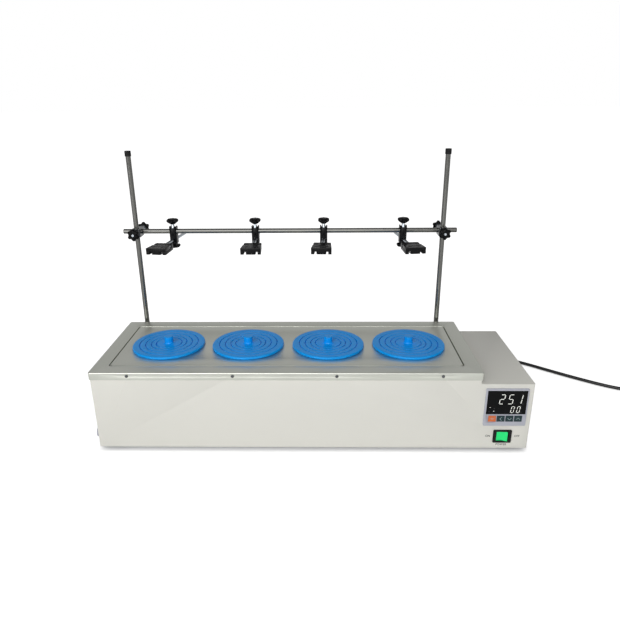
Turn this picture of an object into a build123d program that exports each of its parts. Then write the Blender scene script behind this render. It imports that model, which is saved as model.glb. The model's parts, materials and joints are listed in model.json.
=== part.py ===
from build123d import *
from math import cos, pi, radians, sin, tan
import os

os.makedirs("parts", exist_ok=True)

# Four-hole water bath with a clamp stand behind it.
# Millimetres. X runs to the right, Y to the back, Z up from the bench.
# The origin is at the middle of the whole object's footprint, without its cord.

# Body
LIP_LENGTH = 695.0          # stainless top, left to right
LIP_DEPTH = 245.0           # stainless top, front to back
LIP_SKIRT = 14.0            # rim folded down over the case
LIP_CORNER = 4.0
LIP_EDGE = 1.5              # radius along the top's outer edge
LIP_SHEET = 1.2
SKIRT_GAP = 0.3
LIP_BORDER = 27.5           # from the lip's edge to the deck's recess
CASE_HEIGHT = 152.0         # from the case's bottom edge to the lip's top
CASE_SHEET = 1.2
CASE_CORNER = 3.0
CONTROL_WIDTH = 91.0        # control box beyond the lip
CONTROL_DROP = 22.0         # its top below the lip's top
WIRE_PASSAGE = 40.0         # hole for wires in the wall between bath and control box
BASE_FLANGE = 6.0
BASE_GAP = 0.2
FOOT_HEIGHT = 8.0
FOOT_DIAMETER = 34.0
FOOT_INSET = 30.0
FOOT_STEM = 8.0
FOOT_BULB = 10.5

# Deck, tank and what stands in the tank
DECK_SHEET = 1.2
DECK_GAP = 1.0
DECK_FLANGE = 9.0
DECK_EDGE = 3.0
DECK_CORNER = 6.0
LEDGE = 10.0                # shelf in the lip that carries the deck
TANK_DEPTH = 118.0          # from the lip's top to the tank's floor
TANK_CORNER = 12.0
TANK_FLOOR_RADIUS = 8.0
HEATER_TUBE = 9.0
HEATER_SPREAD = 70.0        # between the two legs of the heater's loop
HEATER_HEIGHT = 18.0        # above the tank's floor
HEATER_END_GAP = 60.0       # from the loop to the tank's left wall
FITTING_SHANK = 12.0
FITTING_FLANGE = 18.0
FITTING_THICKNESS = 4.0
TERMINAL_DIAMETER = 4.0
TERMINAL_LENGTH = 6.0
PROBE_DIAMETER = 6.0
PROBE_LENGTH = 90.0
SHELF_HEIGHT = 32.0          # above the tank's floor
SHELF_SHEET = 1.0
SHELF_MARGIN = 8.5          # from the shelf to the tank's walls
SHELF_HOLE = 8.0
SHELF_HOLE_PITCH = 26.0
SHELF_LEG = 14.0

# Lids: rings and a cap that lie in one another
HOLE_COUNT = 4
HOLE_PITCH = 155.0
HOLE_DIAMETER = 124.0
RING_RADII = [69.0, 56.5, 45.2, 34.5, 25.3]
RING_HEIGHT = 4.5
RING_STEP = 3.0             # width of the lap between two rings
RING_GAP = 0.3
LAP_GAP = 0.1               # play between two rings, up and down
RING_EDGE = 0.6
RIM_RADIUS = 1.8
SPIGOT_DEPTH = 3.5          # collar of the outer ring, down into the deck's hole
SPIGOT_WALL = 4.0
KNOB_DIAMETER = 16.7
KNOB_HEIGHT = 13.5

# Controller, keys and switch in the front panel
BEZEL_WIDTH = 75.0
BEZEL_HEIGHT = 73.5
BEZEL_PROUD = 4.0
BEZEL_CORNER = 2.0
BEZEL_FROM_RIGHT = 47.5     # bezel's middle from the case's right face
BEZEL_FROM_TOP = 66.7       # bezel's middle below the lip's top
METER_BODY = 67.0
METER_DEPTH = 60.0
PANEL_GAP = 0.5
WINDOW_WIDTH = 69.5
WINDOW_HEIGHT = 46.5
WINDOW_THICKNESS = 2.0
WINDOW_FROM_TOP = 3.0
KEY_WIDTH = 13.4
KEY_HEIGHT = 11.6
KEY_PITCH = 15.3
KEY_FROM_TOP = 52.6
KEY_PROUD = 1.2
KEY_DEPTH = 5.0
KEY_TRAVEL = 1.0
KEY_GAP = 0.25
KEY_PLACES = {"set": -1.5, "shift": -0.5, "down": 0.5, "up": 1.5}   # in pitches
SWITCH_WIDTH = 33.0
SWITCH_HEIGHT = 26.3
SWITCH_PROUD = 2.2
SWITCH_BODY_WIDTH = 28.0
SWITCH_BODY_HEIGHT = 22.5
SWITCH_BODY_DEPTH = 24.0
SWITCH_FROM_TOP = 127.0     # switch's middle below the lip's top
ROCKER_WIDTH = 19.6
ROCKER_HEIGHT = 18.6
ROCKER_PROUD = 5.4          # from the pivot to the rocker's tips
ROCKER_DISH = 2.4           # how far the middle lies behind the tips
ROCKER_BACK = 3.0
ROCKER_TILT = 9.0
ROCKER_CORNER = 7.0         # half width of the rocker's back
ROCKER_SINK = 5.2           # pivot behind the frame's front face
ROCKER_GAP = 0.5
ROCKER_PIN = 2.5
ROCKER_PIN_REACH = 0.8      # pin's ends in the frame's walls

# Stand: two uprights, a crossbar and the bossheads that join them
ROD_DIAMETER = 10.0
ROD_LENGTH = 500.0
ROD_CHAMFER = 0.8
ROD_STANDOFF = 15.0         # from the lip's back edge to the uprights
ROD_SPACING = 13.0          # from the uprights to the crossbar behind them
UPRIGHT_INSET = 33.0        # from the lip's ends to the uprights
ROD_SEAT = 6.0              # rods' lower ends above the case's bottom edge
STAND_SHIFT = -2.0          # stand's middle from the bath's middle
CROSSBAR_OVERHANG = 31.5    # beyond each upright
CROSSBAR_RISE = 192.0       # above the lip's top
FIT = 0.1                   # radial clearance of a sliding or turning fit
CAP_WALL = 1.0
CAP_TOP = 1.5
CAP_GRIP = 9.0
BRACKET_WIDTH = 22.0
BRACKET_PLATE = 3.0
BRACKET_HEIGHT = 18.0
BRACKET_FLOOR = 3.0
BRACKET_EAR = 11.0
UPPER_BRACKET_DROP = 42.0   # its middle below the lip's top
BOSS_WIDTH = 17.0
BOSS_WALL = 3.5
BOSS_EDGE = 3.0
BOSS_STUD = 6.0

# Clamps on the crossbar
CLAMP_OFFSETS = [-244.0, -72.5, 69.5, 233.5]   # from the bath's middle
CLAMP_SWINGS = [-8.0, 0.0, -3.0, 8.0]          # degrees that each stem is set aside
SWING_LIMIT = 10.0          # that the holder's opening leaves room for
HOLDER_WIDTH = 15.5
HOLDER_TOP = 10.0           # above the crossbar's axis
HOLDER_NOTCH = 3.0          # depth of the channel across its top
HOLDER_BOTTOM = 25.0        # below the crossbar's axis
HOLDER_HALF_DEPTH = 9.0
STEM_DROP = 18.0            # stem's axis below the crossbar's
STEM_DIAMETER = 6.0
STEM_REAR = 62.0            # stem's rear end behind the crossbar
HOLDER_STUD = 5.0
NOTCH_GAP = 0.4             # between the cone and the channel's sides
HOLDER_FLAT = 0.7           # flat strip left between the two round front corners
HEAD_GAP = 40.0             # from the holder to the jaws
JAW_LENGTH = 46.0
JAW_REAR_WIDTH = 34.0
JAW_FRONT_WIDTH = 40.0
JAW_HEIGHT = 12.5
JAW_SPLIT = 6.2             # thickness of the upper jaw
JAW_GAP = 0.4
JAW_ABOVE_STEM = 4.3        # jaws' top above the stem's axis
LOBE_WIDTH = 19.0
LOBE_LENGTH = 16.0
LOBE_NOTCH = 4.0            # gap between the lobe and a prong
LOBE_CORNER = 3.0
LOBE_ROOT = 1.0             # how far the lobe's root lies inside the upper jaw
EAR_INSET = 1.0
DENT_X = 9.6                # hollows in the upper jaw's top, each side of its middle
DENT_FROM_FRONT = 11.0
DENT_LENGTH = 7.0
DENT_WIDTH = 4.0
DENT_DEPTH = 1.2
HINGE_BACK = 14.0           # hinge axis in front of the head's rear end
BARREL_RADIUS = 3.2
BARREL_WIDTH = 15.0
HINGE_PIN = 3.0
STEM_GRIP = 9.0
SOCKET_WALL = 1.0
SOCKET_STAND = 2.0          # socket's end behind the head
SOCKET_LENGTH = 11.0

# Star knobs of the screws
STAR_LOBES = 6
BOSS_STAR = 25.0
BOSS_STAR_THICKNESS = 8.0
BOSS_COLLARS = {"front": 12.0, "rear": 24.0}   # plated cones, block to knob
BOSS_COLLAR_SMALL = 3.5
BOSS_COLLAR_LARGE = 7.0
CLAMP_STAR = 24.5
CLAMP_STAR_THICKNESS = 6.5
CLAMP_STAR_CONE = 5.5
CLAMP_STAR_RIM = 1.5
CLAMP_COLLAR = 6.0          # height of the plated cone in the holder's channel
CLAMP_COLLAR_RADIUS = 4.5
BAR_STAR = 20.0             # knob's underside from the crossbar's axis
STEM_STAR = 10.0            # knob's underside from the stem's axis
SCALLOP_CENTRE = 0.62       # shares of a knob's diameter
SCALLOP_RADIUS = 0.22
STUD_NUB = 0.7
STUD_CLEARANCE = 0.3        # between a screw's end and the rod it clamps

# Drain, screws, cord
DRAIN_BORE = 8.0
DRAIN_TUBE = 12.0
DRAIN_FLANGE = 20.0
DRAIN_FLANGE_THICKNESS = 1.5
DRAIN_CAP = 20.0
DRAIN_REACH = 10.0          # cap's end beyond the case's left face
DRAIN_FROM_FRONT = 28.0
DRAIN_HEIGHT = 24.0
DRAIN_BEND = 14.0
DRAIN_RUN = 75.0
DRAIN_SIDESTEP = 50.0
CAP_KNURLS = 20
KNURL_RADIUS = 0.8
CAP_END = 2.0               # thickness of the cap's closed end
SCREW_SHANK = 3.0
SCREW_HEAD = 5.6
SCREW_HEAD_HEIGHT = 1.8
SCREW_LENGTH = 6.0
SCREW_X = [-278.5, -91.5, 91.5, 276.5]         # from the bath's middle
SCREW_DROP = 6.2
VENT_COUNT = 6
VENT_LENGTH = 40.0
VENT_WIDTH = 4.0
VENT_PITCH = 9.0
VENT_DROP = 34.0
CORD_DIAMETER = 7.0
GLAND_FROM_RIGHT = 30.0
GLAND_HEIGHT = 45.0
GLAND_LENGTH = 30.0
GLAND_FLANGE = 16.0
GLAND_NECK = 12.0
COIL_MIDDLE = (775.0, 110.0)
COIL_TURN_RADIUS = 38.5     # middle of the coil's turns
COIL_WIDTH = 21.0
COIL_HEIGHT = 13.5
COIL_LEAD = 45.0
PLUG_LEAD = 60.0
PLUG_HEIGHT = 20.0
PLUG_WIDTH = 30.0
PLUG_LENGTH = 32.0
PLUG_RELIEF = 18.0
PIN_LENGTH = 17.0
PIN_WIDTH = 6.3
PIN_THICKNESS = 1.6
PIN_SPREAD = 8.0

# Places that follow from the sizes above
case_inset = LIP_SHEET + SKIRT_GAP
total_length = DRAIN_REACH - case_inset + LIP_LENGTH + CONTROL_WIDTH
lip_left = -total_length / 2 + DRAIN_REACH - case_inset
lip_right = lip_left + LIP_LENGTH
bath_x = lip_left + LIP_LENGTH / 2
case_left = lip_left + case_inset
case_bath_right = lip_right - case_inset
case_right = lip_right + CONTROL_WIDTH
panel_reach = KEY_PROUD + BEZEL_PROUD - case_inset
total_depth = panel_reach + LIP_DEPTH + ROD_STANDOFF + ROD_SPACING + STEM_REAR
lip_front = -total_depth / 2 + panel_reach
lip_back = lip_front + LIP_DEPTH
bath_y = lip_front + LIP_DEPTH / 2
case_front = lip_front + case_inset
case_back = lip_back - case_inset
case_bottom = FOOT_HEIGHT
lip_top = case_bottom + CASE_HEIGHT
case_top = lip_top - LIP_SHEET
control_top = lip_top - CONTROL_DROP
recess_length = LIP_LENGTH - 2 * LIP_BORDER
recess_depth = LIP_DEPTH - 2 * LIP_BORDER
ledge_top = lip_top - DECK_FLANGE
tank_length = recess_length - 2 * LEDGE
tank_width = recess_depth - 2 * LEDGE
tank_floor = lip_top - TANK_DEPTH
tank_right = bath_x + tank_length / 2
deck_under = lip_top - DECK_SHEET
hole_x = [bath_x + (n - (HOLE_COUNT - 1) / 2) * HOLE_PITCH for n in range(HOLE_COUNT)]
heater_z = tank_floor + HEATER_HEIGHT
heater_y = [bath_y - HEATER_SPREAD / 2, bath_y + HEATER_SPREAD / 2]
deck_length = recess_length - 2 * DECK_GAP
deck_depth = recess_depth - 2 * DECK_GAP
bezel_x = case_right - BEZEL_FROM_RIGHT
bezel_z = lip_top - BEZEL_FROM_TOP
bezel_front = case_front - BEZEL_PROUD
window_z = bezel_z + BEZEL_HEIGHT / 2 - WINDOW_FROM_TOP - WINDOW_HEIGHT / 2
key_z = bezel_z + BEZEL_HEIGHT / 2 - KEY_FROM_TOP - KEY_HEIGHT / 2
switch_z = lip_top - SWITCH_FROM_TOP
switch_front = case_front - SWITCH_PROUD
pivot_y = switch_front + ROCKER_SINK
upright_y = lip_back + ROD_STANDOFF
bar_y = upright_y + ROD_SPACING
bar_z = lip_top + CROSSBAR_RISE
stand_x = bath_x + STAND_SHIFT
upright_span = LIP_LENGTH - 2 * UPRIGHT_INSET
upright_x = [stand_x - upright_span / 2, stand_x + upright_span / 2]
upright_bottom = case_bottom + ROD_SEAT
upright_top = upright_bottom + ROD_LENGTH
crossbar_length = upright_span + 2 * CROSSBAR_OVERHANG
rod_radius = ROD_DIAMETER / 2
boss_front = upright_y - rod_radius - BOSS_WALL
boss_back = bar_y + rod_radius + BOSS_WALL
clamp_x = [bath_x + offset for offset in CLAMP_OFFSETS]
stem_z = bar_z - STEM_DROP
holder_front = bar_y - HOLDER_HALF_DEPTH
head_rear = holder_front - HEAD_GAP
head_front = head_rear - JAW_LENGTH
jaw_top = stem_z + JAW_ABOVE_STEM
jaw_bottom = jaw_top - JAW_HEIGHT
hinge_y = head_rear - HINGE_BACK
hinge_z = jaw_top - BARREL_RADIUS
drain_y = lip_front + DRAIN_FROM_FRONT
gland_x = case_right - GLAND_FROM_RIGHT
cord_radius = CORD_DIAMETER / 2
base_length = case_right - case_left - 2 * (CASE_SHEET + BASE_GAP)
base_depth = case_back - case_front - 2 * (CASE_SHEET + BASE_GAP)
foot_places = [(x, y) for x in (case_left + FOOT_INSET, case_right - FOOT_INSET)
               for y in (case_front + FOOT_INSET, case_back - FOOT_INSET)]
bracket_z = [upright_bottom + BRACKET_HEIGHT / 2, lip_top - UPPER_BRACKET_DROP]
bracket_screw = BRACKET_WIDTH / 2 + BRACKET_EAR / 2
drain_turn_x = case_left + DRAIN_RUN
drain_turn_y = drain_y + DRAIN_SIDESTEP
coil_x = COIL_MIDDLE[0]
coil_y = COIL_MIDDLE[1]
outer_turn = COIL_TURN_RADIUS + COIL_WIDTH / 2 - cord_radius


def facing_front(y):
    """Upright plane across the body at a depth: its x is X, its y is Z, its normal faces the front."""
    return Plane.XZ.offset(-y)


def level(z):
    """Flat plane at a height above the bench."""
    return Plane.XY.offset(z)


def facing_right(x):
    """Upright plane along the depth: its x is Y, its y is Z, its normal faces the right."""
    return Plane.YZ.offset(x)


# Painted case: one sheet shell round the bath and the control box
with BuildPart() as case:
    with BuildSketch(level(case_bottom)):
        with Locations(((case_left + case_right) / 2, bath_y)):
            RectangleRounded(case_right - case_left, case_back - case_front, CASE_CORNER)
    extrude(amount=case_top - case_bottom)
    with BuildSketch(level(control_top)):
        with Locations(((case_bath_right + case_right) / 2, bath_y)):
            Rectangle(case_right - case_bath_right + 2 * CASE_CORNER, LIP_DEPTH)
        with Locations(((case_left + case_bath_right) / 2, bath_y)):
            RectangleRounded(case_bath_right - case_left, case_back - case_front, CASE_CORNER,
                             mode=Mode.SUBTRACT)
    extrude(amount=CONTROL_DROP, mode=Mode.SUBTRACT)
    bath_length = case_bath_right - case_left - 2 * CASE_SHEET
    inner_depth = case_back - case_front - 2 * CASE_SHEET
    with BuildSketch(level(case_bottom)):
        with Locations((case_left + CASE_SHEET + bath_length / 2, bath_y)):
            RectangleRounded(bath_length, inner_depth, CASE_CORNER - CASE_SHEET)
    extrude(amount=case_top - case_bottom, mode=Mode.SUBTRACT)
    control_length = case_right - case_bath_right - CASE_SHEET
    with BuildSketch(level(case_bottom)):
        with Locations((case_bath_right + control_length / 2, bath_y)):
            RectangleRounded(control_length, inner_depth, CASE_CORNER - CASE_SHEET)
    extrude(amount=control_top - CASE_SHEET - case_bottom, mode=Mode.SUBTRACT)
    # Room for the base plate below the inner wall
    with BuildSketch(level(case_bottom)):
        with Locations(((case_left + case_right) / 2, bath_y)):
            Rectangle(case_right - case_left - 2 * CASE_CORNER, inner_depth)
    extrude(amount=BASE_FLANGE + BASE_GAP, mode=Mode.SUBTRACT)
    # Openings in the front for the controller, the switch and the skirt's screws
    with BuildSketch(facing_front(case_front + 2 * CASE_SHEET)):
        with Locations((bezel_x, bezel_z)):
            Rectangle(METER_BODY + PANEL_GAP, METER_BODY + PANEL_GAP)
        with Locations((bezel_x, switch_z)):
            Rectangle(SWITCH_BODY_WIDTH + PANEL_GAP, SWITCH_BODY_HEIGHT + PANEL_GAP)
    extrude(amount=3 * CASE_SHEET, mode=Mode.SUBTRACT)
    # Screw holes through the front and the back
    with BuildSketch(facing_front(case_back + CASE_SHEET)):
        with Locations(*[(bath_x + x, lip_top - SCREW_DROP) for x in SCREW_X]):
            Circle(SCREW_SHANK / 2 + FIT)
    extrude(amount=LIP_DEPTH, mode=Mode.SUBTRACT)
    with BuildSketch(facing_front(case_back + CASE_SHEET)):
        with Locations(*[(x + side * bracket_screw, z) for x in upright_x for side in (-1, 1)
                         for z in bracket_z]):
            Circle(SCREW_SHANK / 2 + FIT)
    extrude(amount=3 * CASE_SHEET, mode=Mode.SUBTRACT)
    # Back of the control box: vents and the cord's hole
    with BuildSketch(facing_front(case_back + CASE_SHEET)):
        with Locations((case_right - CONTROL_WIDTH / 2, control_top - VENT_DROP)):
            with GridLocations(0, VENT_PITCH, 1, VENT_COUNT):
                SlotOverall(VENT_LENGTH, VENT_WIDTH)
        with Locations((gland_x, GLAND_HEIGHT)):
            Circle(GLAND_NECK / 2 + FIT)
    extrude(amount=3 * CASE_SHEET, mode=Mode.SUBTRACT)
    # Drain hole in the left wall and the passage for wires in the inner wall
    with BuildSketch(facing_right(case_left - CASE_SHEET)):
        with Locations((drain_y, DRAIN_HEIGHT)):
            Circle(DRAIN_TUBE / 2 + FIT)
    extrude(amount=3 * CASE_SHEET, mode=Mode.SUBTRACT)
    with BuildSketch(facing_right(case_bath_right - 2 * CASE_SHEET)):
        with Locations((bath_y, heater_z)):
            Rectangle(HEATER_SPREAD + WIRE_PASSAGE, WIRE_PASSAGE)
    extrude(amount=3 * CASE_SHEET, mode=Mode.SUBTRACT)
case.part.label = "case"
export_step(case.part, "parts/case.step")

# Base plate: a shallow tray that closes the case from below
with BuildPart() as base_plate:
    with BuildSketch(level(case_bottom)):
        with Locations(((case_left + case_right) / 2, bath_y)):
            RectangleRounded(base_length, base_depth, CASE_CORNER - CASE_SHEET)
    extrude(amount=BASE_FLANGE)
    with BuildSketch(level(case_bottom + CASE_SHEET)):
        with Locations(((case_left + case_right) / 2, bath_y)):
            Rectangle(base_length - 2 * CASE_SHEET, base_depth - 2 * CASE_SHEET)
    extrude(amount=BASE_FLANGE, mode=Mode.SUBTRACT)
    with BuildSketch(level(case_bottom)):
        with Locations(*foot_places):
            Circle(FOOT_STEM / 2 + FIT)
    extrude(amount=2 * CASE_SHEET, mode=Mode.SUBTRACT)
base_plate.part.label = "base_plate"
export_step(base_plate.part, "parts/base_plate.step")

# Rubber feet, pushed into the base plate
with BuildPart() as feet:
    with BuildSketch():
        with Locations(*foot_places):
            Circle(FOOT_DIAMETER / 2)
    extrude(amount=FOOT_HEIGHT)
    chamfer(feet.faces().sort_by(Axis.Z)[:4].edges(), FOOT_HEIGHT / 5)
    with BuildSketch(level(FOOT_HEIGHT)):
        with Locations(*foot_places):
            Circle(FOOT_STEM / 2)
    extrude(amount=CASE_SHEET + BASE_GAP)
    with BuildSketch(level(FOOT_HEIGHT + CASE_SHEET + BASE_GAP)):
        with Locations(*foot_places):
            Circle(FOOT_BULB / 2)
    extrude(amount=CASE_SHEET * 2, taper=20)
feet.part.label = "feet"
export_step(feet.part, "parts/feet.step")

# Pressed stainless tank with its lip, the recess for the deck and the ledge in it
with BuildPart() as tank_hollow:
    with BuildSketch(level(ledge_top + LEDGE)):
        with Locations((bath_x, bath_y)):
            RectangleRounded(tank_length, tank_width, TANK_CORNER)
    extrude(amount=-(ledge_top + LEDGE - tank_floor))
    fillet(tank_hollow.faces().sort_by(Axis.Z)[0].edges(), TANK_FLOOR_RADIUS)

with BuildPart() as tank:
    with BuildSketch(level(lip_top)):
        with Locations((bath_x, bath_y)):
            RectangleRounded(LIP_LENGTH, LIP_DEPTH, LIP_CORNER)
    extrude(amount=-LIP_SKIRT)
    fillet(tank.faces().sort_by(Axis.Z)[-1].edges(), LIP_EDGE)
    with BuildSketch(level(case_top)):
        with Locations((bath_x, bath_y)):
            RectangleRounded(LIP_LENGTH - 2 * LIP_SHEET, LIP_DEPTH - 2 * LIP_SHEET,
                             LIP_CORNER - LIP_SHEET)
    extrude(amount=-LIP_SKIRT, mode=Mode.SUBTRACT)
    with BuildSketch(level(case_top)):
        with Locations((bath_x, bath_y)):
            RectangleRounded(recess_length + 2 * LIP_SHEET, recess_depth + 2 * LIP_SHEET,
                             DECK_CORNER + LIP_SHEET)
    extrude(amount=-DECK_FLANGE)
    with BuildSketch(level(ledge_top)):
        with Locations((bath_x, bath_y)):
            RectangleRounded(tank_length + 2 * LIP_SHEET, tank_width + 2 * LIP_SHEET,
                             TANK_CORNER + LIP_SHEET)
    extrude(amount=-(ledge_top - tank_floor + LIP_SHEET))
    fillet(tank.faces().sort_by(Axis.Z)[0].edges(), TANK_FLOOR_RADIUS + LIP_SHEET)
    with BuildSketch(level(lip_top)):
        with Locations((bath_x, bath_y)):
            RectangleRounded(recess_length, recess_depth, DECK_CORNER)
    extrude(amount=-DECK_FLANGE, mode=Mode.SUBTRACT)
    add(tank_hollow.part, mode=Mode.SUBTRACT)
    # Holes for the heater's fittings and the probe, the drain and the skirt's screws
    with BuildSketch(facing_right(tank_right - LIP_SHEET)):
        with Locations(*[(y, heater_z) for y in heater_y]):
            Circle(FITTING_SHANK / 2 + FIT)
        with Locations((bath_y, heater_z)):
            Circle(PROBE_DIAMETER / 2 + FIT)
    extrude(amount=3 * LIP_SHEET, mode=Mode.SUBTRACT)
    with BuildSketch(level(tank_floor - 2 * LIP_SHEET)):
        with Locations((drain_turn_x, drain_turn_y)):
            Circle(DRAIN_TUBE / 2 + FIT)
    extrude(amount=3 * LIP_SHEET, mode=Mode.SUBTRACT)
    for skirt_y in (lip_front, lip_back):
        with BuildSketch(facing_front(skirt_y + 2 * LIP_SHEET)):
            with Locations(*[(bath_x + x, lip_top - SCREW_DROP) for x in SCREW_X]):
                Circle(SCREW_SHANK / 2 + FIT)
        extrude(amount=4 * LIP_SHEET, mode=Mode.SUBTRACT)
tank.part.label = "tank"
export_step(tank.part, "parts/tank.step")

# Heater: a tube loop along the tank's floor, with a fitting in the right wall at each end
loop_x = bath_x - tank_length / 2 + HEATER_END_GAP
with BuildPart() as heater:
    with BuildLine() as heater_path:
        leg = Line((tank_right, heater_y[0], heater_z), (loop_x, heater_y[0], heater_z))
        bend = ThreePointArc(leg @ 1, (loop_x - HEATER_SPREAD / 2, bath_y, heater_z),
                             (loop_x, heater_y[1], heater_z))
        Line(bend @ 1, (tank_right, heater_y[1], heater_z))
    with BuildSketch(facing_right(tank_right)):
        with Locations((heater_y[0], heater_z)):
            Circle(HEATER_TUBE / 2)
    sweep()
    with BuildSketch(facing_right(tank_right)):
        with Locations(*[(y, heater_z) for y in heater_y]):
            Circle(FITTING_FLANGE / 2)
    extrude(amount=-FITTING_THICKNESS)
    with BuildSketch(facing_right(tank_right)):
        with Locations(*[(y, heater_z) for y in heater_y]):
            Circle(FITTING_SHANK / 2)
    extrude(amount=LIP_SHEET)
    with BuildSketch(facing_right(tank_right + LIP_SHEET)):
        with Locations(*[(y, heater_z) for y in heater_y]):
            RegularPolygon(FITTING_FLANGE / 2, 6)
    extrude(amount=FITTING_THICKNESS)
    with BuildSketch(facing_right(tank_right + LIP_SHEET + FITTING_THICKNESS)):
        with Locations(*[(y, heater_z) for y in heater_y]):
            Circle(TERMINAL_DIAMETER / 2)
    extrude(amount=TERMINAL_LENGTH)
heater.part.label = "heater"
export_step(heater.part, "parts/heater.step")

# Temperature probe between the heater's legs
with BuildPart() as temperature_probe:
    with BuildSketch(facing_right(tank_right + TERMINAL_LENGTH)):
        with Locations((bath_y, heater_z)):
            Circle(PROBE_DIAMETER / 2)
    extrude(amount=-PROBE_LENGTH)
    fillet(temperature_probe.faces().sort_by(Axis.X)[0].edges(), PROBE_DIAMETER / 2 - 0.5)
    with BuildSketch(facing_right(tank_right + LIP_SHEET)):
        with Locations((bath_y, heater_z)):
            Circle(PROBE_DIAMETER)
    extrude(amount=FITTING_THICKNESS)
temperature_probe.part.label = "temperature_probe"
export_step(temperature_probe.part, "parts/temperature_probe.step")

# Perforated shelf over the heater, on folded legs
shelf_length = tank_length - 2 * SHELF_MARGIN
shelf_width = tank_width - 2 * SHELF_MARGIN
with BuildPart() as shelf:
    with BuildSketch(level(tank_floor + SHELF_HEIGHT)):
        with Locations((bath_x, bath_y)):
            RectangleRounded(shelf_length, shelf_width, TANK_CORNER)
            with GridLocations(SHELF_HOLE_PITCH, SHELF_HOLE_PITCH,
                               int((shelf_length - TANK_CORNER) / SHELF_HOLE_PITCH),
                               int((shelf_width - TANK_CORNER) / SHELF_HOLE_PITCH)):
                Circle(SHELF_HOLE / 2, mode=Mode.SUBTRACT)
    extrude(amount=-SHELF_SHEET)
    with BuildSketch(level(tank_floor + SHELF_HEIGHT)):
        with Locations((bath_x, bath_y)):
            with GridLocations(shelf_length - SHELF_SHEET, shelf_width - 2 * TANK_CORNER - SHELF_LEG,
                               2, 2):
                Rectangle(SHELF_SHEET, SHELF_LEG)
    extrude(amount=-SHELF_HEIGHT)
shelf.part.label = "shelf"
export_step(shelf.part, "parts/shelf.step")

# Deck plate with folded edges, resting on the ledge
with BuildPart() as deck_hollow:
    with BuildSketch(level(deck_under)):
        with Locations((bath_x, bath_y)):
            RectangleRounded(deck_length - 2 * DECK_SHEET, deck_depth - 2 * DECK_SHEET,
                             DECK_CORNER - DECK_SHEET)
    extrude(amount=-DECK_FLANGE)
    fillet(deck_hollow.faces().sort_by(Axis.Z)[-1].edges(), DECK_EDGE - DECK_SHEET)

with BuildPart() as deck_plate:
    with BuildSketch(level(lip_top)):
        with Locations((bath_x, bath_y)):
            RectangleRounded(deck_length, deck_depth, DECK_CORNER)
    extrude(amount=-DECK_FLANGE)
    fillet(deck_plate.faces().sort_by(Axis.Z)[-1].edges(), DECK_EDGE)
    add(deck_hollow.part, mode=Mode.SUBTRACT)
    with BuildSketch(level(lip_top)):
        with Locations(*[(x, bath_y) for x in hole_x]):
            Circle(HOLE_DIAMETER / 2)
    extrude(amount=-2 * DECK_SHEET, mode=Mode.SUBTRACT)
deck_plate.part.label = "deck_plate"
export_step(deck_plate.part, "parts/deck_plate.step")

# Lids: each hole has four rings and a cap, half lapped into one another
lap = RING_HEIGHT / 2
collar_outer = HOLE_DIAMETER / 2 - RING_GAP
collar_inner = collar_outer - SPIGOT_WALL
for n, x in enumerate(hole_x, 1):
    side = Plane(origin=(x, bath_y, lip_top), x_dir=(1, 0, 0), z_dir=(0, -1, 0))
    middle = Axis((x, bath_y, 0), (0, 0, 1))
    with BuildPart() as rings:
        for i, outer in enumerate(RING_RADII[:-1]):
            inner = RING_RADII[i + 1]
            if i == 0:
                foot = [(collar_inner, 0), (collar_inner, -SPIGOT_DEPTH),
                        (collar_outer, -SPIGOT_DEPTH), (collar_outer, 0), (outer, 0)]
                edge = outer
            else:
                root = outer - RING_STEP - RING_GAP
                edge = outer - RING_GAP
                foot = [(root, 0), (root, lap + LAP_GAP), (edge, lap + LAP_GAP)]
            with BuildSketch(side) as profile:
                with BuildLine():
                    Polyline((inner - RING_STEP, 0), *foot, (edge, RING_HEIGHT), (inner, RING_HEIGHT),
                             (inner, lap), (inner - RING_STEP, lap), close=True)
                make_face()
                top_corners = profile.vertices().group_by(Axis.Y)[-1].sort_by(Axis.X)
                fillet(top_corners[-1], RIM_RADIUS if i == 0 else RING_EDGE)
                fillet(profile.vertices().group_by(Axis.Y)[-1].sort_by(Axis.X)[0], RING_EDGE)
            revolve(axis=middle)
    rings.part.label = f"lid_{n}_rings"
    export_step(rings.part, f"parts/lid_{n}_rings.step")

    cap_edge = RING_RADII[-1] - RING_GAP
    cap_root = RING_RADII[-1] - RING_STEP - RING_GAP
    with BuildPart() as cap:
        with BuildSketch(side):
            with BuildLine():
                Polyline((0, 0), (cap_root, 0), (cap_root, lap + LAP_GAP), (cap_edge, lap + LAP_GAP),
                         (cap_edge, RING_HEIGHT - RING_EDGE), (cap_edge - RING_EDGE, RING_HEIGHT),
                         (0, RING_HEIGHT), close=True)
            make_face()
        revolve(axis=middle)
        with BuildSketch(level(lip_top + RING_HEIGHT)):
            with Locations((x, bath_y)):
                Circle(KNOB_DIAMETER / 2)
        extrude(amount=KNOB_HEIGHT)
        fillet(cap.faces().sort_by(Axis.Z)[-1].edges(), RING_EDGE * 2)
    cap.part.label = f"lid_{n}_cap"
    export_step(cap.part, f"parts/lid_{n}_cap.step")

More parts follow.
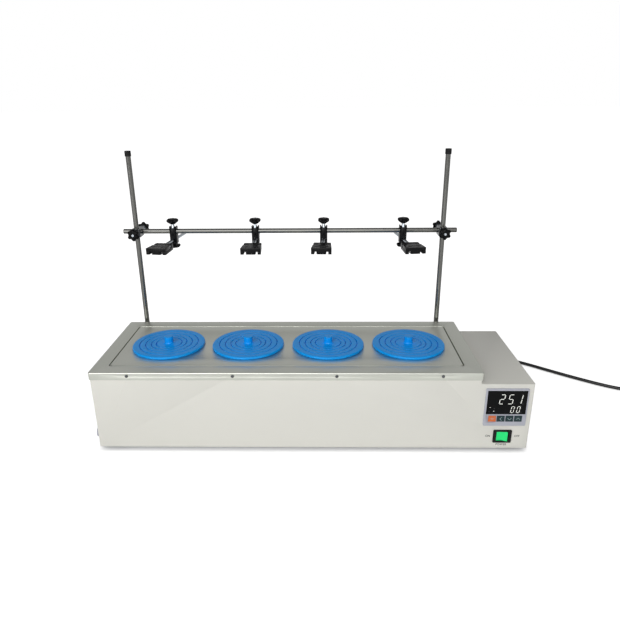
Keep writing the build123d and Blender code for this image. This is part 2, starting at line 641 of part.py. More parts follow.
# Controller: bezel and meter body, with the pockets for the window and the keys
with BuildPart() as controller:
    with BuildSketch(facing_front(case_front)):
        with Locations((bezel_x, bezel_z)):
            RectangleRounded(BEZEL_WIDTH, BEZEL_HEIGHT, BEZEL_CORNER)
    extrude(amount=BEZEL_PROUD)
    fillet(controller.faces().sort_by(Axis.Y)[0].edges(), BEZEL_CORNER / 2)
    with BuildSketch(facing_front(case_front)):
        with Locations((bezel_x, bezel_z)):
            Rectangle(METER_BODY, METER_BODY)
    extrude(amount=-METER_DEPTH)
    with BuildSketch(facing_front(bezel_front)):
        with Locations((bezel_x, window_z)):
            Rectangle(WINDOW_WIDTH + 2 * FIT, WINDOW_HEIGHT + 2 * FIT)
    extrude(amount=-WINDOW_THICKNESS, mode=Mode.SUBTRACT)
    with BuildSketch(facing_front(bezel_front)):
        with Locations(*[(bezel_x + place * KEY_PITCH, key_z) for place in KEY_PLACES.values()]):
            Rectangle(KEY_WIDTH + 2 * KEY_GAP, KEY_HEIGHT + 2 * KEY_GAP)
    extrude(amount=-(KEY_DEPTH + KEY_TRAVEL + KEY_GAP), mode=Mode.SUBTRACT)
controller.part.label = "controller"
export_step(controller.part, "parts/controller.step")

with BuildPart() as display_window:
    with BuildSketch(facing_front(bezel_front)):
        with Locations((bezel_x, window_z)):
            Rectangle(WINDOW_WIDTH, WINDOW_HEIGHT)
    extrude(amount=-WINDOW_THICKNESS)
display_window.part.label = "display_window"
export_step(display_window.part, "parts/display_window.step")

for key_name, place in KEY_PLACES.items():
    with BuildPart() as key:
        with BuildSketch(facing_front(bezel_front - KEY_PROUD)):
            with Locations((bezel_x + place * KEY_PITCH, key_z)):
                Rectangle(KEY_WIDTH, KEY_HEIGHT)
        extrude(amount=-(KEY_PROUD + KEY_DEPTH))
        fillet(key.faces().sort_by(Axis.Y)[0].edges(), KEY_PROUD / 2)
    key.part.label = f"key_{key_name}"
    export_step(key.part, f"parts/key_{key_name}.step")

# Mains switch: frame with its rocker, tipped to the left where it is on
rocker_swing = ROCKER_WIDTH / 2 + ROCKER_PROUD * sin(radians(ROCKER_TILT))
opening_half = rocker_swing + ROCKER_GAP
opening_height = ROCKER_HEIGHT + 2 * ROCKER_GAP
with BuildPart() as switch_frame:
    with BuildSketch(facing_front(case_front)):
        with Locations((bezel_x, switch_z)):
            RectangleRounded(SWITCH_WIDTH, SWITCH_HEIGHT, BEZEL_CORNER)
    extrude(amount=SWITCH_PROUD)
    chamfer(switch_frame.faces().sort_by(Axis.Y)[0].edges(), SWITCH_PROUD / 4)
    with BuildSketch(facing_front(case_front)):
        with Locations((bezel_x, switch_z)):
            Rectangle(SWITCH_BODY_WIDTH, SWITCH_BODY_HEIGHT)
    extrude(amount=-SWITCH_BODY_DEPTH)
    with BuildSketch(facing_front(switch_front)):
        with Locations((bezel_x, switch_z)):
            Rectangle(2 * opening_half, opening_height)
    extrude(amount=-(ROCKER_SINK + ROCKER_PROUD), mode=Mode.SUBTRACT)
    with BuildSketch(level(switch_z - opening_height / 2 - ROCKER_PIN_REACH - FIT)):
        with Locations((bezel_x, pivot_y)):
            Circle(ROCKER_PIN / 2 + FIT)
    extrude(amount=opening_height + 2 * (ROCKER_PIN_REACH + FIT), mode=Mode.SUBTRACT)
switch_frame.part.label = "switch_frame"
export_step(switch_frame.part, "parts/switch_frame.step")

tipped = Plane(origin=(bezel_x, pivot_y, switch_z - ROCKER_HEIGHT / 2),
               x_dir=(cos(radians(ROCKER_TILT)), -sin(radians(ROCKER_TILT)), 0), z_dir=(0, 0, 1))
with BuildPart() as rocker:
    with BuildSketch(tipped):
        with BuildLine():
            Polyline((-ROCKER_WIDTH / 2, -ROCKER_PROUD), (0, ROCKER_DISH - ROCKER_PROUD),
                     (ROCKER_WIDTH / 2, -ROCKER_PROUD), (ROCKER_CORNER, ROCKER_BACK),
                     (-ROCKER_CORNER, ROCKER_BACK), close=True)
        make_face()
    extrude(amount=ROCKER_HEIGHT)
    pin_length = opening_height + 2 * ROCKER_PIN_REACH
    with BuildSketch(level(switch_z - pin_length / 2)):
        with Locations((bezel_x, pivot_y)):
            Circle(ROCKER_PIN / 2)
    extrude(amount=pin_length)
rocker.part.label = "rocker"
export_step(rocker.part, "parts/rocker.step")

# Uprights with their end caps, in brackets on the case's back
with BuildPart() as uprights:
    with BuildSketch(level(upright_bottom)):
        with Locations(*[(x, upright_y) for x in upright_x]):
            Circle(rod_radius)
    extrude(amount=ROD_LENGTH)
    chamfer(uprights.edges().filter_by(GeomType.CIRCLE), ROD_CHAMFER)
uprights.part.label = "uprights"
export_step(uprights.part, "parts/uprights.step")

with BuildPart() as rod_caps:
    with BuildSketch(level(upright_top - CAP_GRIP)):
        with Locations(*[(x, upright_y) for x in upright_x]):
            Circle(rod_radius + FIT + CAP_WALL)
    extrude(amount=CAP_GRIP + CAP_TOP)
    fillet(rod_caps.faces().sort_by(Axis.Z)[-2:].edges(), CAP_WALL)
    with BuildSketch(level(upright_top - CAP_GRIP)):
        with Locations(*[(x, upright_y) for x in upright_x]):
            Circle(rod_radius + FIT)
    extrude(amount=CAP_GRIP, mode=Mode.SUBTRACT)
rod_caps.part.label = "rod_caps"
export_step(rod_caps.part, "parts/rod_caps.step")

with BuildPart() as rod_brackets:
    for z, floor in zip(bracket_z, (BRACKET_FLOOR, 0)):
        bottom = z - BRACKET_HEIGHT / 2
        with BuildSketch(level(bottom - floor)):
            for x in upright_x:
                with Locations((x, case_back + BRACKET_PLATE / 2)):
                    Rectangle(BRACKET_WIDTH + 2 * BRACKET_EAR, BRACKET_PLATE)
                with Locations((x, (case_back + upright_y) / 2)):
                    Rectangle(BRACKET_WIDTH, upright_y - case_back)
                with Locations((x, upright_y)):
                    Circle(BRACKET_WIDTH / 2)
        extrude(amount=BRACKET_HEIGHT + floor)
        with BuildSketch(level(bottom)):
            with Locations(*[(x, upright_y) for x in upright_x]):
                Circle(rod_radius + FIT)
        extrude(amount=BRACKET_HEIGHT, mode=Mode.SUBTRACT)
    with BuildSketch(facing_front(case_back + 2 * BRACKET_PLATE)):
        with Locations(*[(x + side * bracket_screw, z) for x in upright_x for side in (-1, 1)
                         for z in bracket_z]):
            Circle(SCREW_SHANK / 2 + FIT)
    extrude(amount=3 * BRACKET_PLATE, mode=Mode.SUBTRACT)
rod_brackets.part.label = "rod_brackets"
export_step(rod_brackets.part, "parts/rod_brackets.step")

# Panhead screws of the skirt, front and back, and of the brackets
skirt_screws = [(bath_x + x, lip_top - SCREW_DROP) for x in SCREW_X]
bracket_screws = [(x + side * bracket_screw, z) for x in upright_x for side in (-1, 1)
                  for z in bracket_z]
with BuildPart() as case_screws:
    for seat, outward, places in ((lip_front, 1, skirt_screws), (lip_back, -1, skirt_screws),
                                  (case_back + BRACKET_PLATE, -1, bracket_screws)):
        with BuildSketch(facing_front(seat)):
            with Locations(*places):
                Circle(SCREW_HEAD / 2)
        extrude(amount=outward * SCREW_HEAD_HEIGHT)
        with BuildSketch(facing_front(seat)):
            with Locations(*places):
                Circle(SCREW_SHANK / 2)
        extrude(amount=-outward * SCREW_LENGTH)
case_screws.part.label = "case_screws"
export_step(case_screws.part, "parts/case_screws.step")


def star_screw(rod, turned, star_from, thickness, diameter):
    """A clamping screw: its axis is the plane's normal, from the rod's axis outwards.

    turned lists (radius, distance) points of the stud, the collar and the knob's underside.
    """
    axial = Plane(origin=rod.origin, x_dir=rod.x_dir, z_dir=rod.y_dir * -1)
    with BuildPart() as screw:
        with BuildSketch(axial):
            with BuildLine():
                Polyline((0, turned[0][1]), *turned, (0, turned[-1][1]), close=True)
            make_face()
        revolve(axis=Axis(rod.origin, rod.z_dir))
        with BuildSketch(rod.offset(star_from)):
            Circle(diameter / 2)
            with PolarLocations(diameter * SCALLOP_CENTRE, STAR_LOBES):
                Circle(diameter * SCALLOP_RADIUS, mode=Mode.SUBTRACT)
        extrude(amount=thickness)
    return screw


# Crossbar with its two bossheads
with BuildPart() as crossbar:
    with BuildSketch(facing_right(stand_x - crossbar_length / 2)):
        with Locations((bar_y, bar_z)):
            Circle(rod_radius)
    extrude(amount=crossbar_length)
    chamfer(crossbar.edges().filter_by(GeomType.CIRCLE), ROD_CHAMFER)
crossbar.part.label = "crossbar"
export_step(crossbar.part, "parts/crossbar.step")

with BuildPart() as bossheads:
    with BuildSketch(level(bar_z - BOSS_WIDTH / 2)):
        with Locations(*[(x, (boss_front + boss_back) / 2) for x in upright_x]):
            RectangleRounded(BOSS_WIDTH, boss_back - boss_front, BOSS_EDGE)
    extrude(amount=BOSS_WIDTH)
    with BuildSketch(level(bar_z - BOSS_WIDTH / 2)):
        with Locations(*[(x, upright_y) for x in upright_x]):
            Circle(rod_radius + FIT)
    extrude(amount=BOSS_WIDTH, mode=Mode.SUBTRACT)
    with BuildSketch(facing_right(upright_x[0] - BOSS_WIDTH)):
        with Locations((bar_y, bar_z)):
            Circle(rod_radius + FIT)
    extrude(amount=upright_span + 2 * BOSS_WIDTH, mode=Mode.SUBTRACT)
    for start, reach in ((upright_y, upright_y - boss_front), (bar_y, bar_y - boss_back)):
        with BuildSketch(facing_front(start)):
            with Locations(*[(x, bar_z) for x in upright_x]):
                Circle(BOSS_STUD / 2 + FIT)
        extrude(amount=reach, mode=Mode.SUBTRACT)
bossheads.part.label = "bossheads"
export_step(bossheads.part, "parts/bossheads.step")

boss_face = rod_radius + BOSS_WALL
for hand, x in zip(("left", "right"), upright_x):
    for place, y, outward in (("front", upright_y, -1), ("rear", bar_y, 1)):
        knob_from = boss_face + FIT + BOSS_COLLARS[place]
        boss_turned = [(BOSS_STUD / 2, rod_radius + STUD_CLEARANCE),
                       (BOSS_STUD / 2, boss_face + STUD_CLEARANCE),
                       (BOSS_COLLAR_SMALL, boss_face + STUD_CLEARANCE),
                       (BOSS_COLLAR_LARGE, knob_from), (BOSS_STUD / 2, knob_from),
                       (BOSS_STUD / 2, knob_from + BOSS_STAR_THICKNESS + STUD_NUB)]
        rod_axis = Plane(origin=(x, y, bar_z), x_dir=(1, 0, 0), z_dir=(0, outward, 0))
        screw = star_screw(rod_axis, boss_turned, knob_from, BOSS_STAR_THICKNESS, BOSS_STAR)
        screw.part.label = f"boss_screw_{hand}_{place}"
        export_step(screw.part, f"parts/boss_screw_{hand}_{place}.step")


def head_half(y):
    """Half width of a clamp's head at a depth: it widens towards the front."""
    return (JAW_REAR_WIDTH + (JAW_FRONT_WIDTH - JAW_REAR_WIDTH) * (head_rear - y) / JAW_LENGTH) / 2


def head_outline(x, front, rear):
    """Plan of a stretch of a clamp's head, as the corners of a face."""
    return [(x - head_half(front), front), (x + head_half(front), front),
            (x + head_half(rear), rear), (x - head_half(rear), rear)]


# Clamps: a holder on the crossbar, its two screws, the stem with the lower jaw, the upper jaw
notch_floor = HOLDER_TOP - HOLDER_NOTCH
bar_turned = [(HOLDER_STUD / 2, rod_radius + STUD_CLEARANCE), (HOLDER_STUD / 2, notch_floor + FIT),
              (CLAMP_COLLAR_RADIUS, notch_floor + FIT), (HOLDER_STUD / 2, notch_floor + CLAMP_COLLAR),
              (HOLDER_STUD / 2, BAR_STAR - CLAMP_STAR_CONE),
              (HOLDER_STUD / 2 + 1, BAR_STAR - CLAMP_STAR_CONE),
              (CLAMP_STAR / 2 - CLAMP_STAR_RIM, BAR_STAR), (HOLDER_STUD / 2, BAR_STAR)]
stem_face = HOLDER_BOTTOM - STEM_DROP
stem_turned = [(HOLDER_STUD / 2, STEM_DIAMETER / 2 + STUD_CLEARANCE), (HOLDER_STUD / 2, stem_face + FIT),
               (CLAMP_COLLAR_RADIUS, stem_face + FIT), (HOLDER_STUD / 2, STEM_STAR),
               (HOLDER_STUD / 2, STEM_STAR + CLAMP_STAR_THICKNESS)]
stem_hole = STEM_DIAMETER / 2 + FIT
flare = HOLDER_WIDTH * tan(radians(SWING_LIMIT))
FLARE_CORNERS = [(-1, 1, 1), (-1, 1, 0), (-1, -1, 1), (1, -1, 1), (1, 1, 0), (1, 1, 1)]   # side, end, away
lower_thickness = JAW_HEIGHT - JAW_SPLIT - JAW_GAP
ear_inner = BARREL_WIDTH / 2 + JAW_GAP
lobe_rear = head_front + LOBE_LENGTH
plate_rear = hinge_y - BARREL_RADIUS - JAW_GAP
block_front = hinge_y + BARREL_RADIUS + JAW_GAP
for n, (x, swing) in enumerate(zip(clamp_x, CLAMP_SWINGS), 1):
    screw_axis = Axis((x, bar_y, stem_z), (0, 0, 1))
    with BuildPart() as holder:
        with BuildSketch(level(bar_z - HOLDER_BOTTOM)) as holder_plan:
            with Locations((x, bar_y)):
                Rectangle(HOLDER_WIDTH, 2 * HOLDER_HALF_DEPTH)
            fillet(holder_plan.vertices().group_by(Axis.Y)[0], HOLDER_WIDTH / 2 - HOLDER_FLAT)
            fillet(holder_plan.vertices().group_by(Axis.Y)[-1], HOLDER_FLAT * 2)
        extrude(amount=HOLDER_TOP + HOLDER_BOTTOM)
        with BuildSketch(level(bar_z + notch_floor)):
            with Locations((x, bar_y)):
                Rectangle(2 * (CLAMP_COLLAR_RADIUS + NOTCH_GAP), 3 * HOLDER_HALF_DEPTH)
        extrude(amount=2 * HOLDER_NOTCH, mode=Mode.SUBTRACT)
        with BuildSketch(facing_right(x - HOLDER_WIDTH)):
            with Locations((bar_y, bar_z)):
                Circle(rod_radius + FIT)
        extrude(amount=2 * HOLDER_WIDTH, mode=Mode.SUBTRACT)
        # Opening for the stem, narrow at the screw and flared to both faces
        with BuildSketch(level(stem_z - stem_hole)):
            with BuildLine():
                Polyline(*[(x + side * (stem_hole + away * flare), bar_y + end * away * HOLDER_WIDTH)
                           for side, end, away in FLARE_CORNERS], close=True)
            make_face()
        extrude(amount=2 * stem_hole, mode=Mode.SUBTRACT)
        for start, reach in ((bar_z, HOLDER_TOP), (stem_z, -stem_face)):
            with BuildSketch(level(start)):
                with Locations((x, bar_y)):
                    Circle(HOLDER_STUD / 2 + FIT)
            extrude(amount=reach, mode=Mode.SUBTRACT)
    holder.part.label = f"clamp_{n}_holder"
    export_step(holder.part, f"parts/clamp_{n}_holder.step")

    upwards = Plane(origin=(x, bar_y, bar_z), x_dir=(1, 0, 0), z_dir=(0, 0, 1))
    screw = star_screw(upwards, bar_turned, BAR_STAR, CLAMP_STAR_THICKNESS, CLAMP_STAR)
    screw.part.label = f"clamp_{n}_bar_screw"
    export_step(screw.part, f"parts/clamp_{n}_bar_screw.step")

    downwards = Plane(origin=(x, bar_y, stem_z), x_dir=(1, 0, 0), z_dir=(0, 0, -1))
    screw = star_screw(downwards, stem_turned, STEM_STAR, CLAMP_STAR_THICKNESS, CLAMP_STAR)
    screw.part.label = f"clamp_{n}_stem_screw"
    export_step(screw.part, f"parts/clamp_{n}_stem_screw.step")

    # Stem, lower jaw with two prongs, and the hinge pin pressed into its ears
    with BuildPart() as stem:
        with BuildSketch(level(jaw_bottom)):
            with BuildLine():
                Polyline(*head_outline(x, head_front, head_rear), close=True)
            make_face()
        extrude(amount=lower_thickness)
        with BuildSketch(level(jaw_bottom)):
            with Locations((x, head_front + (LOBE_LENGTH + LOBE_NOTCH) / 2)):
                Rectangle(LOBE_WIDTH + 2 * LOBE_NOTCH, LOBE_LENGTH + LOBE_NOTCH)
        extrude(amount=JAW_HEIGHT, mode=Mode.SUBTRACT)
        with BuildSketch(level(jaw_bottom)):
            with BuildLine():
                Polyline(*head_outline(x, block_front, head_rear), close=True)
            make_face()
        extrude(amount=JAW_HEIGHT)
        # Ears round the hinge
        for ear in (-1, 1):
            ear_width = head_half(hinge_y) - EAR_INSET - ear_inner
            with BuildSketch(facing_right(x + ear * (ear_inner + ear_width / 2) - ear_width / 2)):
                with Locations((hinge_y, hinge_z)):
                    Circle(BARREL_RADIUS)
                with Locations((hinge_y, (hinge_z + jaw_bottom) / 2)):
                    Rectangle(2 * BARREL_RADIUS, hinge_z - jaw_bottom)
                with Locations(((hinge_y + block_front) / 2, (hinge_z + jaw_bottom) / 2)):
                    Rectangle(block_front - hinge_y, hinge_z - jaw_bottom)
            extrude(amount=ear_width)
        with BuildSketch(facing_right(x - JAW_FRONT_WIDTH / 2)):
            with Locations((hinge_y, hinge_z)):
                Circle(HINGE_PIN / 2 + FIT)
        extrude(amount=JAW_FRONT_WIDTH, mode=Mode.SUBTRACT)
        # Socket for the stem
        with BuildSketch(facing_front(head_rear + SOCKET_STAND)):
            with Locations((x, stem_z)):
                Circle(STEM_DIAMETER / 2 + SOCKET_WALL)
        extrude(amount=SOCKET_LENGTH)
        with BuildSketch(facing_front(head_rear + SOCKET_STAND)):
            with Locations((x, stem_z)):
                Circle(STEM_DIAMETER / 2 + FIT)
        extrude(amount=SOCKET_STAND + STEM_GRIP - FIT, mode=Mode.SUBTRACT)
        with BuildSketch(facing_front(bar_y + STEM_REAR)):
            with Locations((x, stem_z)):
                Circle(STEM_DIAMETER / 2)
        extrude(amount=bar_y + STEM_REAR - head_rear + STEM_GRIP - 2 * FIT)
        pin_half = head_half(hinge_y) - EAR_INSET
        with BuildSketch(facing_right(x - pin_half)):
            with Locations((hinge_y, hinge_z)):
                Circle(HINGE_PIN / 2)
        extrude(amount=2 * pin_half)
    stem_set = stem.part.rotate(screw_axis, swing)
    stem_set.label = f"clamp_{n}_stem"
    export_step(stem_set, f"parts/clamp_{n}_stem.step")

    # Upper jaw with the middle lobe, hinged on the pin
    with BuildPart() as jaw:
        with BuildSketch(level(jaw_top)):
            with BuildLine():
                Polyline(*head_outline(x, head_front, plate_rear), close=True)
            make_face()
        extrude(amount=-JAW_SPLIT)
        with BuildSketch(level(jaw_top)):
            with Locations(*[(x + side * DENT_X, head_front + DENT_FROM_FRONT) for side in (-1, 1)]):
                Ellipse(DENT_LENGTH / 2, DENT_WIDTH / 2)
        extrude(amount=-DENT_DEPTH, mode=Mode.SUBTRACT)
        with BuildSketch(level(jaw_top - JAW_SPLIT + LOBE_ROOT)) as lobe_plan:
            with Locations((x, head_front + LOBE_LENGTH / 2)):
                Rectangle(LOBE_WIDTH, LOBE_LENGTH)
            fillet(lobe_plan.vertices(), LOBE_CORNER)
        extrude(amount=-(JAW_HEIGHT - JAW_SPLIT + LOBE_ROOT))
        with BuildSketch(facing_right(x - BARREL_WIDTH / 2)):
            with Locations((hinge_y, hinge_z)):
                Circle(BARREL_RADIUS)
            with Locations(((hinge_y + plate_rear) / 2, hinge_z + BARREL_RADIUS / 2)):
                Rectangle(hinge_y - plate_rear, BARREL_RADIUS)
        extrude(amount=BARREL_WIDTH)
        with BuildSketch(facing_right(x - BARREL_WIDTH)):
            with Locations((hinge_y, hinge_z)):
                Circle(HINGE_PIN / 2 + 2 * FIT)
        extrude(amount=2 * BARREL_WIDTH, mode=Mode.SUBTRACT)
    jaw_set = jaw.part.rotate(screw_axis, swing)
    jaw_set.label = f"clamp_{n}_jaw"
    export_step(jaw_set, f"parts/clamp_{n}_jaw.step")

# Drain: spigot from the tank's floor out through the left wall, and its screw cap
spigot_end = case_left - DRAIN_REACH + CAP_END
drain_points = [(spigot_end, drain_y, DRAIN_HEIGHT), (drain_turn_x, drain_y, DRAIN_HEIGHT),
                (drain_turn_x, drain_turn_y, DRAIN_HEIGHT),
                (drain_turn_x, drain_turn_y, tank_floor + DRAIN_FLANGE_THICKNESS)]
with BuildPart() as drain_spigot:
    with BuildLine() as drain_path:
        FilletPolyline(*drain_points, radius=DRAIN_BEND)
    with BuildSketch(facing_right(spigot_end)):
        with Locations((drain_y, DRAIN_HEIGHT)):
            Circle(DRAIN_TUBE / 2)
    sweep()
    with BuildSketch(level(tank_floor)):
        with Locations((drain_turn_x, drain_turn_y)):
            Circle(DRAIN_FLANGE / 2)
    extrude(amount=DRAIN_FLANGE_THICKNESS)
    with BuildSketch(facing_right(case_left + CASE_SHEET)):
        with Locations((drain_y, DRAIN_HEIGHT)):
            Circle(DRAIN_CAP / 2 - CAP_WALL)
    extrude(amount=2 * DRAIN_FLANGE_THICKNESS)
    with BuildLine():
        FilletPolyline(*drain_points, radius=DRAIN_BEND)
    with BuildSketch(facing_right(spigot_end)):
        with Locations((drain_y, DRAIN_HEIGHT)):
            Circle(DRAIN_BORE / 2)
    sweep(mode=Mode.SUBTRACT)
drain_spigot.part.label = "drain_spigot"
export_step(drain_spigot.part, "parts/drain_spigot.step")

with BuildPart() as drain_cap:
    with BuildSketch(facing_right(case_left - STUD_CLEARANCE)):
        with Locations((drain_y, DRAIN_HEIGHT)):
            Circle(DRAIN_CAP / 2)
            with PolarLocations(DRAIN_CAP / 2, CAP_KNURLS):
                Circle(KNURL_RADIUS, mode=Mode.SUBTRACT)
    extrude(amount=-(DRAIN_REACH - STUD_CLEARANCE))
    with BuildSketch(facing_right(case_left)):
        with Locations((drain_y, DRAIN_HEIGHT)):
            Circle(DRAIN_TUBE / 2 + FIT)
    extrude(amount=-(DRAIN_REACH - CAP_END + FIT), mode=Mode.SUBTRACT)
drain_cap.part.label = "drain_cap"
export_step(drain_cap.part, "parts/drain_cap.step")

# Mains cord: gland in the back of the control box, lead on the bench, coil and plug
with BuildPart() as cord_gland:
    with BuildSketch(facing_front(case_back)):
        with Locations((gland_x, GLAND_HEIGHT)):
            Circle(GLAND_FLANGE / 2)
    extrude(amount=-2 * CASE_SHEET)
    with BuildSketch(facing_front(case_back)):
        with Locations((gland_x, GLAND_HEIGHT)):
            Circle(GLAND_NECK / 2)
    extrude(amount=4 * CASE_SHEET)
    with BuildSketch(facing_front(case_back)):
        with Locations((gland_x, GLAND_HEIGHT)):
            Circle(GLAND_NECK / 2)
    with BuildSketch(facing_front(case_back + GLAND_LENGTH)):
        with Locations((gland_x, GLAND_HEIGHT)):
            Circle(cord_radius + CAP_WALL / 2)
    loft()
cord_gland.part.label = "cord_gland"
export_step(cord_gland.part, "parts/cord_gland.step")

cord_route = [(gland_x, case_back + GLAND_LENGTH, GLAND_HEIGHT),
              (gland_x, 132.0, GLAND_HEIGHT),
              (368.5, 157.0, 38.0),
              (372.0, 179.0, 23.0),
              (380.0, 199.0, 9.0),
              (395.0, 216.0, cord_radius),
              (416.0, 228.0, cord_radius),
              (441.0, 231.0, cord_radius),
              (467.0, 225.0, cord_radius),
              (494.0, 212.0, cord_radius),
              (523.0, 191.0, cord_radius),
              (553.0, 165.0, cord_radius),
              (585.0, 138.0, cord_radius),
              (618.0, 112.0, cord_radius),
              (651.0, 88.0, cord_radius),
              (680.0, 71.0, cord_radius),
              (704.0, coil_y - outer_turn, cord_radius),
              (coil_x - COIL_LEAD, coil_y - outer_turn, cord_radius)]


def corner_radii(points):
    """Largest round corners that fit a route's runs, one for each inner point."""
    corners = [Vector(*p) for p in points]
    radii = []
    for before, here, after in zip(corners, corners[1:], corners[2:]):
        turn = (here - before).get_angle(after - here)
        shorter = min((here - before).length, (after - here).length)
        radii.append(0.45 * shorter / tan(radians(turn / 2)))
    return radii


print("cord radii", [round(r) for r in corner_radii(cord_route)])
with BuildPart() as power_cord:
    with BuildLine() as lead:
        FilletPolyline(*cord_route, radius=corner_radii(cord_route))
    with BuildSketch(facing_front(case_back + GLAND_LENGTH)):
        with Locations((gland_x, GLAND_HEIGHT)):
            Circle(cord_radius)
    sweep()
cord_length = lead.wires()[0].length
print("cord tube", round(cord_length), "mm, volume over section times length",
      round(power_cord.part.volume / (cord_length * pi * cord_radius ** 2), 4))
power_cord.part.label = "power_cord"
export_step(power_cord.part, "parts/power_cord.step")

with BuildPart() as cord_coil:
    with BuildSketch(Plane(origin=(coil_x, coil_y, 0), x_dir=(1, 0, 0), z_dir=(0, -1, 0))):
        with Locations((COIL_TURN_RADIUS, COIL_HEIGHT / 2)):
            RectangleRounded(COIL_WIDTH, COIL_HEIGHT, cord_radius)
    revolve(axis=Axis((coil_x, coil_y, 0), (0, 0, 1)))
    with BuildSketch(facing_right(coil_x)):
        with Locations((coil_y - outer_turn, cord_radius)):
            Circle(cord_radius)
    extrude(amount=-COIL_LEAD)
    with BuildSketch(facing_front(coil_y)):
        with Locations((coil_x + outer_turn, PLUG_HEIGHT / 2)):
            Circle(cord_radius)
    extrude(amount=-PLUG_LEAD)
cord_coil.part.label = "cord_coil"
export_step(cord_coil.part, "parts/cord_coil.step")

plug_x = coil_x + outer_turn
plug_y = coil_y + PLUG_LEAD
with BuildPart() as power_plug:
    with BuildSketch(facing_front(plug_y)):
        with Locations((plug_x, PLUG_HEIGHT / 2)):
            Circle(cord_radius + CAP_WALL / 2)
    with BuildSketch(facing_front(plug_y + PLUG_RELIEF)):
        with Locations((plug_x, PLUG_HEIGHT / 2)):
            Circle(GLAND_NECK / 2)
    loft()
    with BuildSketch(facing_front(plug_y + PLUG_RELIEF)):
        with Locations((plug_x, PLUG_HEIGHT / 2)):
            RectangleRounded(PLUG_WIDTH, PLUG_HEIGHT, PLUG_HEIGHT / 4)
    extrude(amount=-PLUG_LENGTH)
    with BuildSketch(facing_front(plug_y + PLUG_RELIEF + PLUG_LENGTH)):
        with Locations((plug_x - PIN_SPREAD, PLUG_HEIGHT / 2)):
            Rectangle(PIN_WIDTH, PIN_THICKNESS, rotation=60)
        with Locations((plug_x + PIN_SPREAD, PLUG_HEIGHT / 2)):
            Rectangle(PIN_WIDTH, PIN_THICKNESS, rotation=-60)
        with Locations((plug_x, PLUG_HEIGHT / 4)):
            Rectangle(PIN_THICKNESS, PIN_WIDTH)
    extrude(amount=-PIN_LENGTH)
power_plug.part.label = "power_plug"
export_step(power_plug.part, "parts/power_plug.step")
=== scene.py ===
import json
import math

import bmesh
import bpy
from bpy.props import FloatProperty, FloatVectorProperty, IntProperty, PointerProperty, StringProperty
from mathutils import Matrix, Vector


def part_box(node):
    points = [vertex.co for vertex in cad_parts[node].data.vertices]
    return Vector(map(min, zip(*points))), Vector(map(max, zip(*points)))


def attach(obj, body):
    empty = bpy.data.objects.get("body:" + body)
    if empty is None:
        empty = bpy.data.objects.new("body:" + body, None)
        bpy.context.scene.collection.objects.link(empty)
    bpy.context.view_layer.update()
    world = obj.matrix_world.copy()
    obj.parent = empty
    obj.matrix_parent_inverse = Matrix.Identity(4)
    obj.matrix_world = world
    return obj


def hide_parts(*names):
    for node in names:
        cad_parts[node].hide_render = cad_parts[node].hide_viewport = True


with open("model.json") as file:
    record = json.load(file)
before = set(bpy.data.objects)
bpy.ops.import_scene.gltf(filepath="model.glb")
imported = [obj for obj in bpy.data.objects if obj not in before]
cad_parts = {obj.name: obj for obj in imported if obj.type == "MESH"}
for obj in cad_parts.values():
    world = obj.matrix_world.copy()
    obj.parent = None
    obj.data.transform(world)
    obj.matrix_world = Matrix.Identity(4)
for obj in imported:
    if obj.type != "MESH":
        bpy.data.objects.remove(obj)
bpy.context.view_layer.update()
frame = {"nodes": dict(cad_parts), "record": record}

bl_info = {
    "name": "Four-hole water bath",
    "version": (1, 0, 0),
    "blender": (4, 5, 0),
    "location": "3D View > Sidebar > Water bath",
    "description": "Dresses a water bath with its ringed lids, rod stand, clamps and controller",
    "category": "Object",
}

MM = 0.001
NODES = frame["nodes"]
BODY_OF = {node: body for body, nodes in frame["record"]["behaviour"]["bodies"].items()
           for node in nodes}
FRONT = Matrix(((1, 0, 0, 0), (0, 0, -1, 0), (0, 1, 0, 0), (0, 0, 0, 1)))   # flat work turned to the front


# Helpers ------------------------------------------------------------------------------------

def linear(code):
    """Linear colour of an sRGB hex value such as #E8E7E0."""
    parts = [int(code[i:i + 2], 16) / 255 for i in (1, 3, 5)]
    return [c / 12.92 if c <= 0.04045 else ((c + 0.055) / 1.055) ** 2.4 for c in parts]


def add_node(tree, kind, inputs=(), **settings):
    """Adds a node, sets its attributes, and gives its sockets values or links."""
    node = tree.nodes.new(kind)
    for key, value in settings.items():
        setattr(node, key, value)
    for socket, value in dict(inputs).items():
        if isinstance(value, bpy.types.NodeSocket):
            tree.links.new(value, node.inputs[socket])
        else:
            node.inputs[socket].default_value = value
    return node


def rgba(colour, factor=1.0):
    """Four numbers for a colour socket, lighter or darker by a factor."""
    return [min(1.0, c * factor) for c in colour[:3]] + [1.0]


def corner(node, high=False):
    """Lowest or highest corner of a CAD node, in millimetres."""
    return Vector(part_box(node)[1 if high else 0]) / MM


def middle(node):
    """Middle of a CAD node's box, in millimetres."""
    return (corner(node) + corner(node, True)) / 2


def finished(name, bm, node, *materials, sharp=35.0, replaced=()):
    """Turns a bmesh in millimetres into a piece that rides with a CAD node's body."""
    mesh = bpy.data.meshes.new(name)
    bmesh.ops.scale(bm, vec=(MM, MM, MM), verts=bm.verts)
    bm.to_mesh(mesh)
    bm.free()
    for made in materials:
        mesh.materials.append(made)
    mesh.shade_smooth()
    mesh.set_sharp_from_angle(angle=math.radians(sharp))
    piece = bpy.data.objects.new(name, mesh)
    bpy.context.scene.collection.objects.link(piece)
    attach(piece, BODY_OF[node])
    if replaced:
        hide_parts(*replaced)
    return piece


def along(origin, direction, side=(1, 0, 0)):
    """Matrix that takes local Z to a direction and local X near a side."""
    z = Vector(direction).normalized()
    x = (Vector(side) - z * Vector(side).dot(z)).normalized()
    turn = Matrix((x, z.cross(x), z)).transposed().to_4x4()
    return Matrix.Translation(origin) @ turn


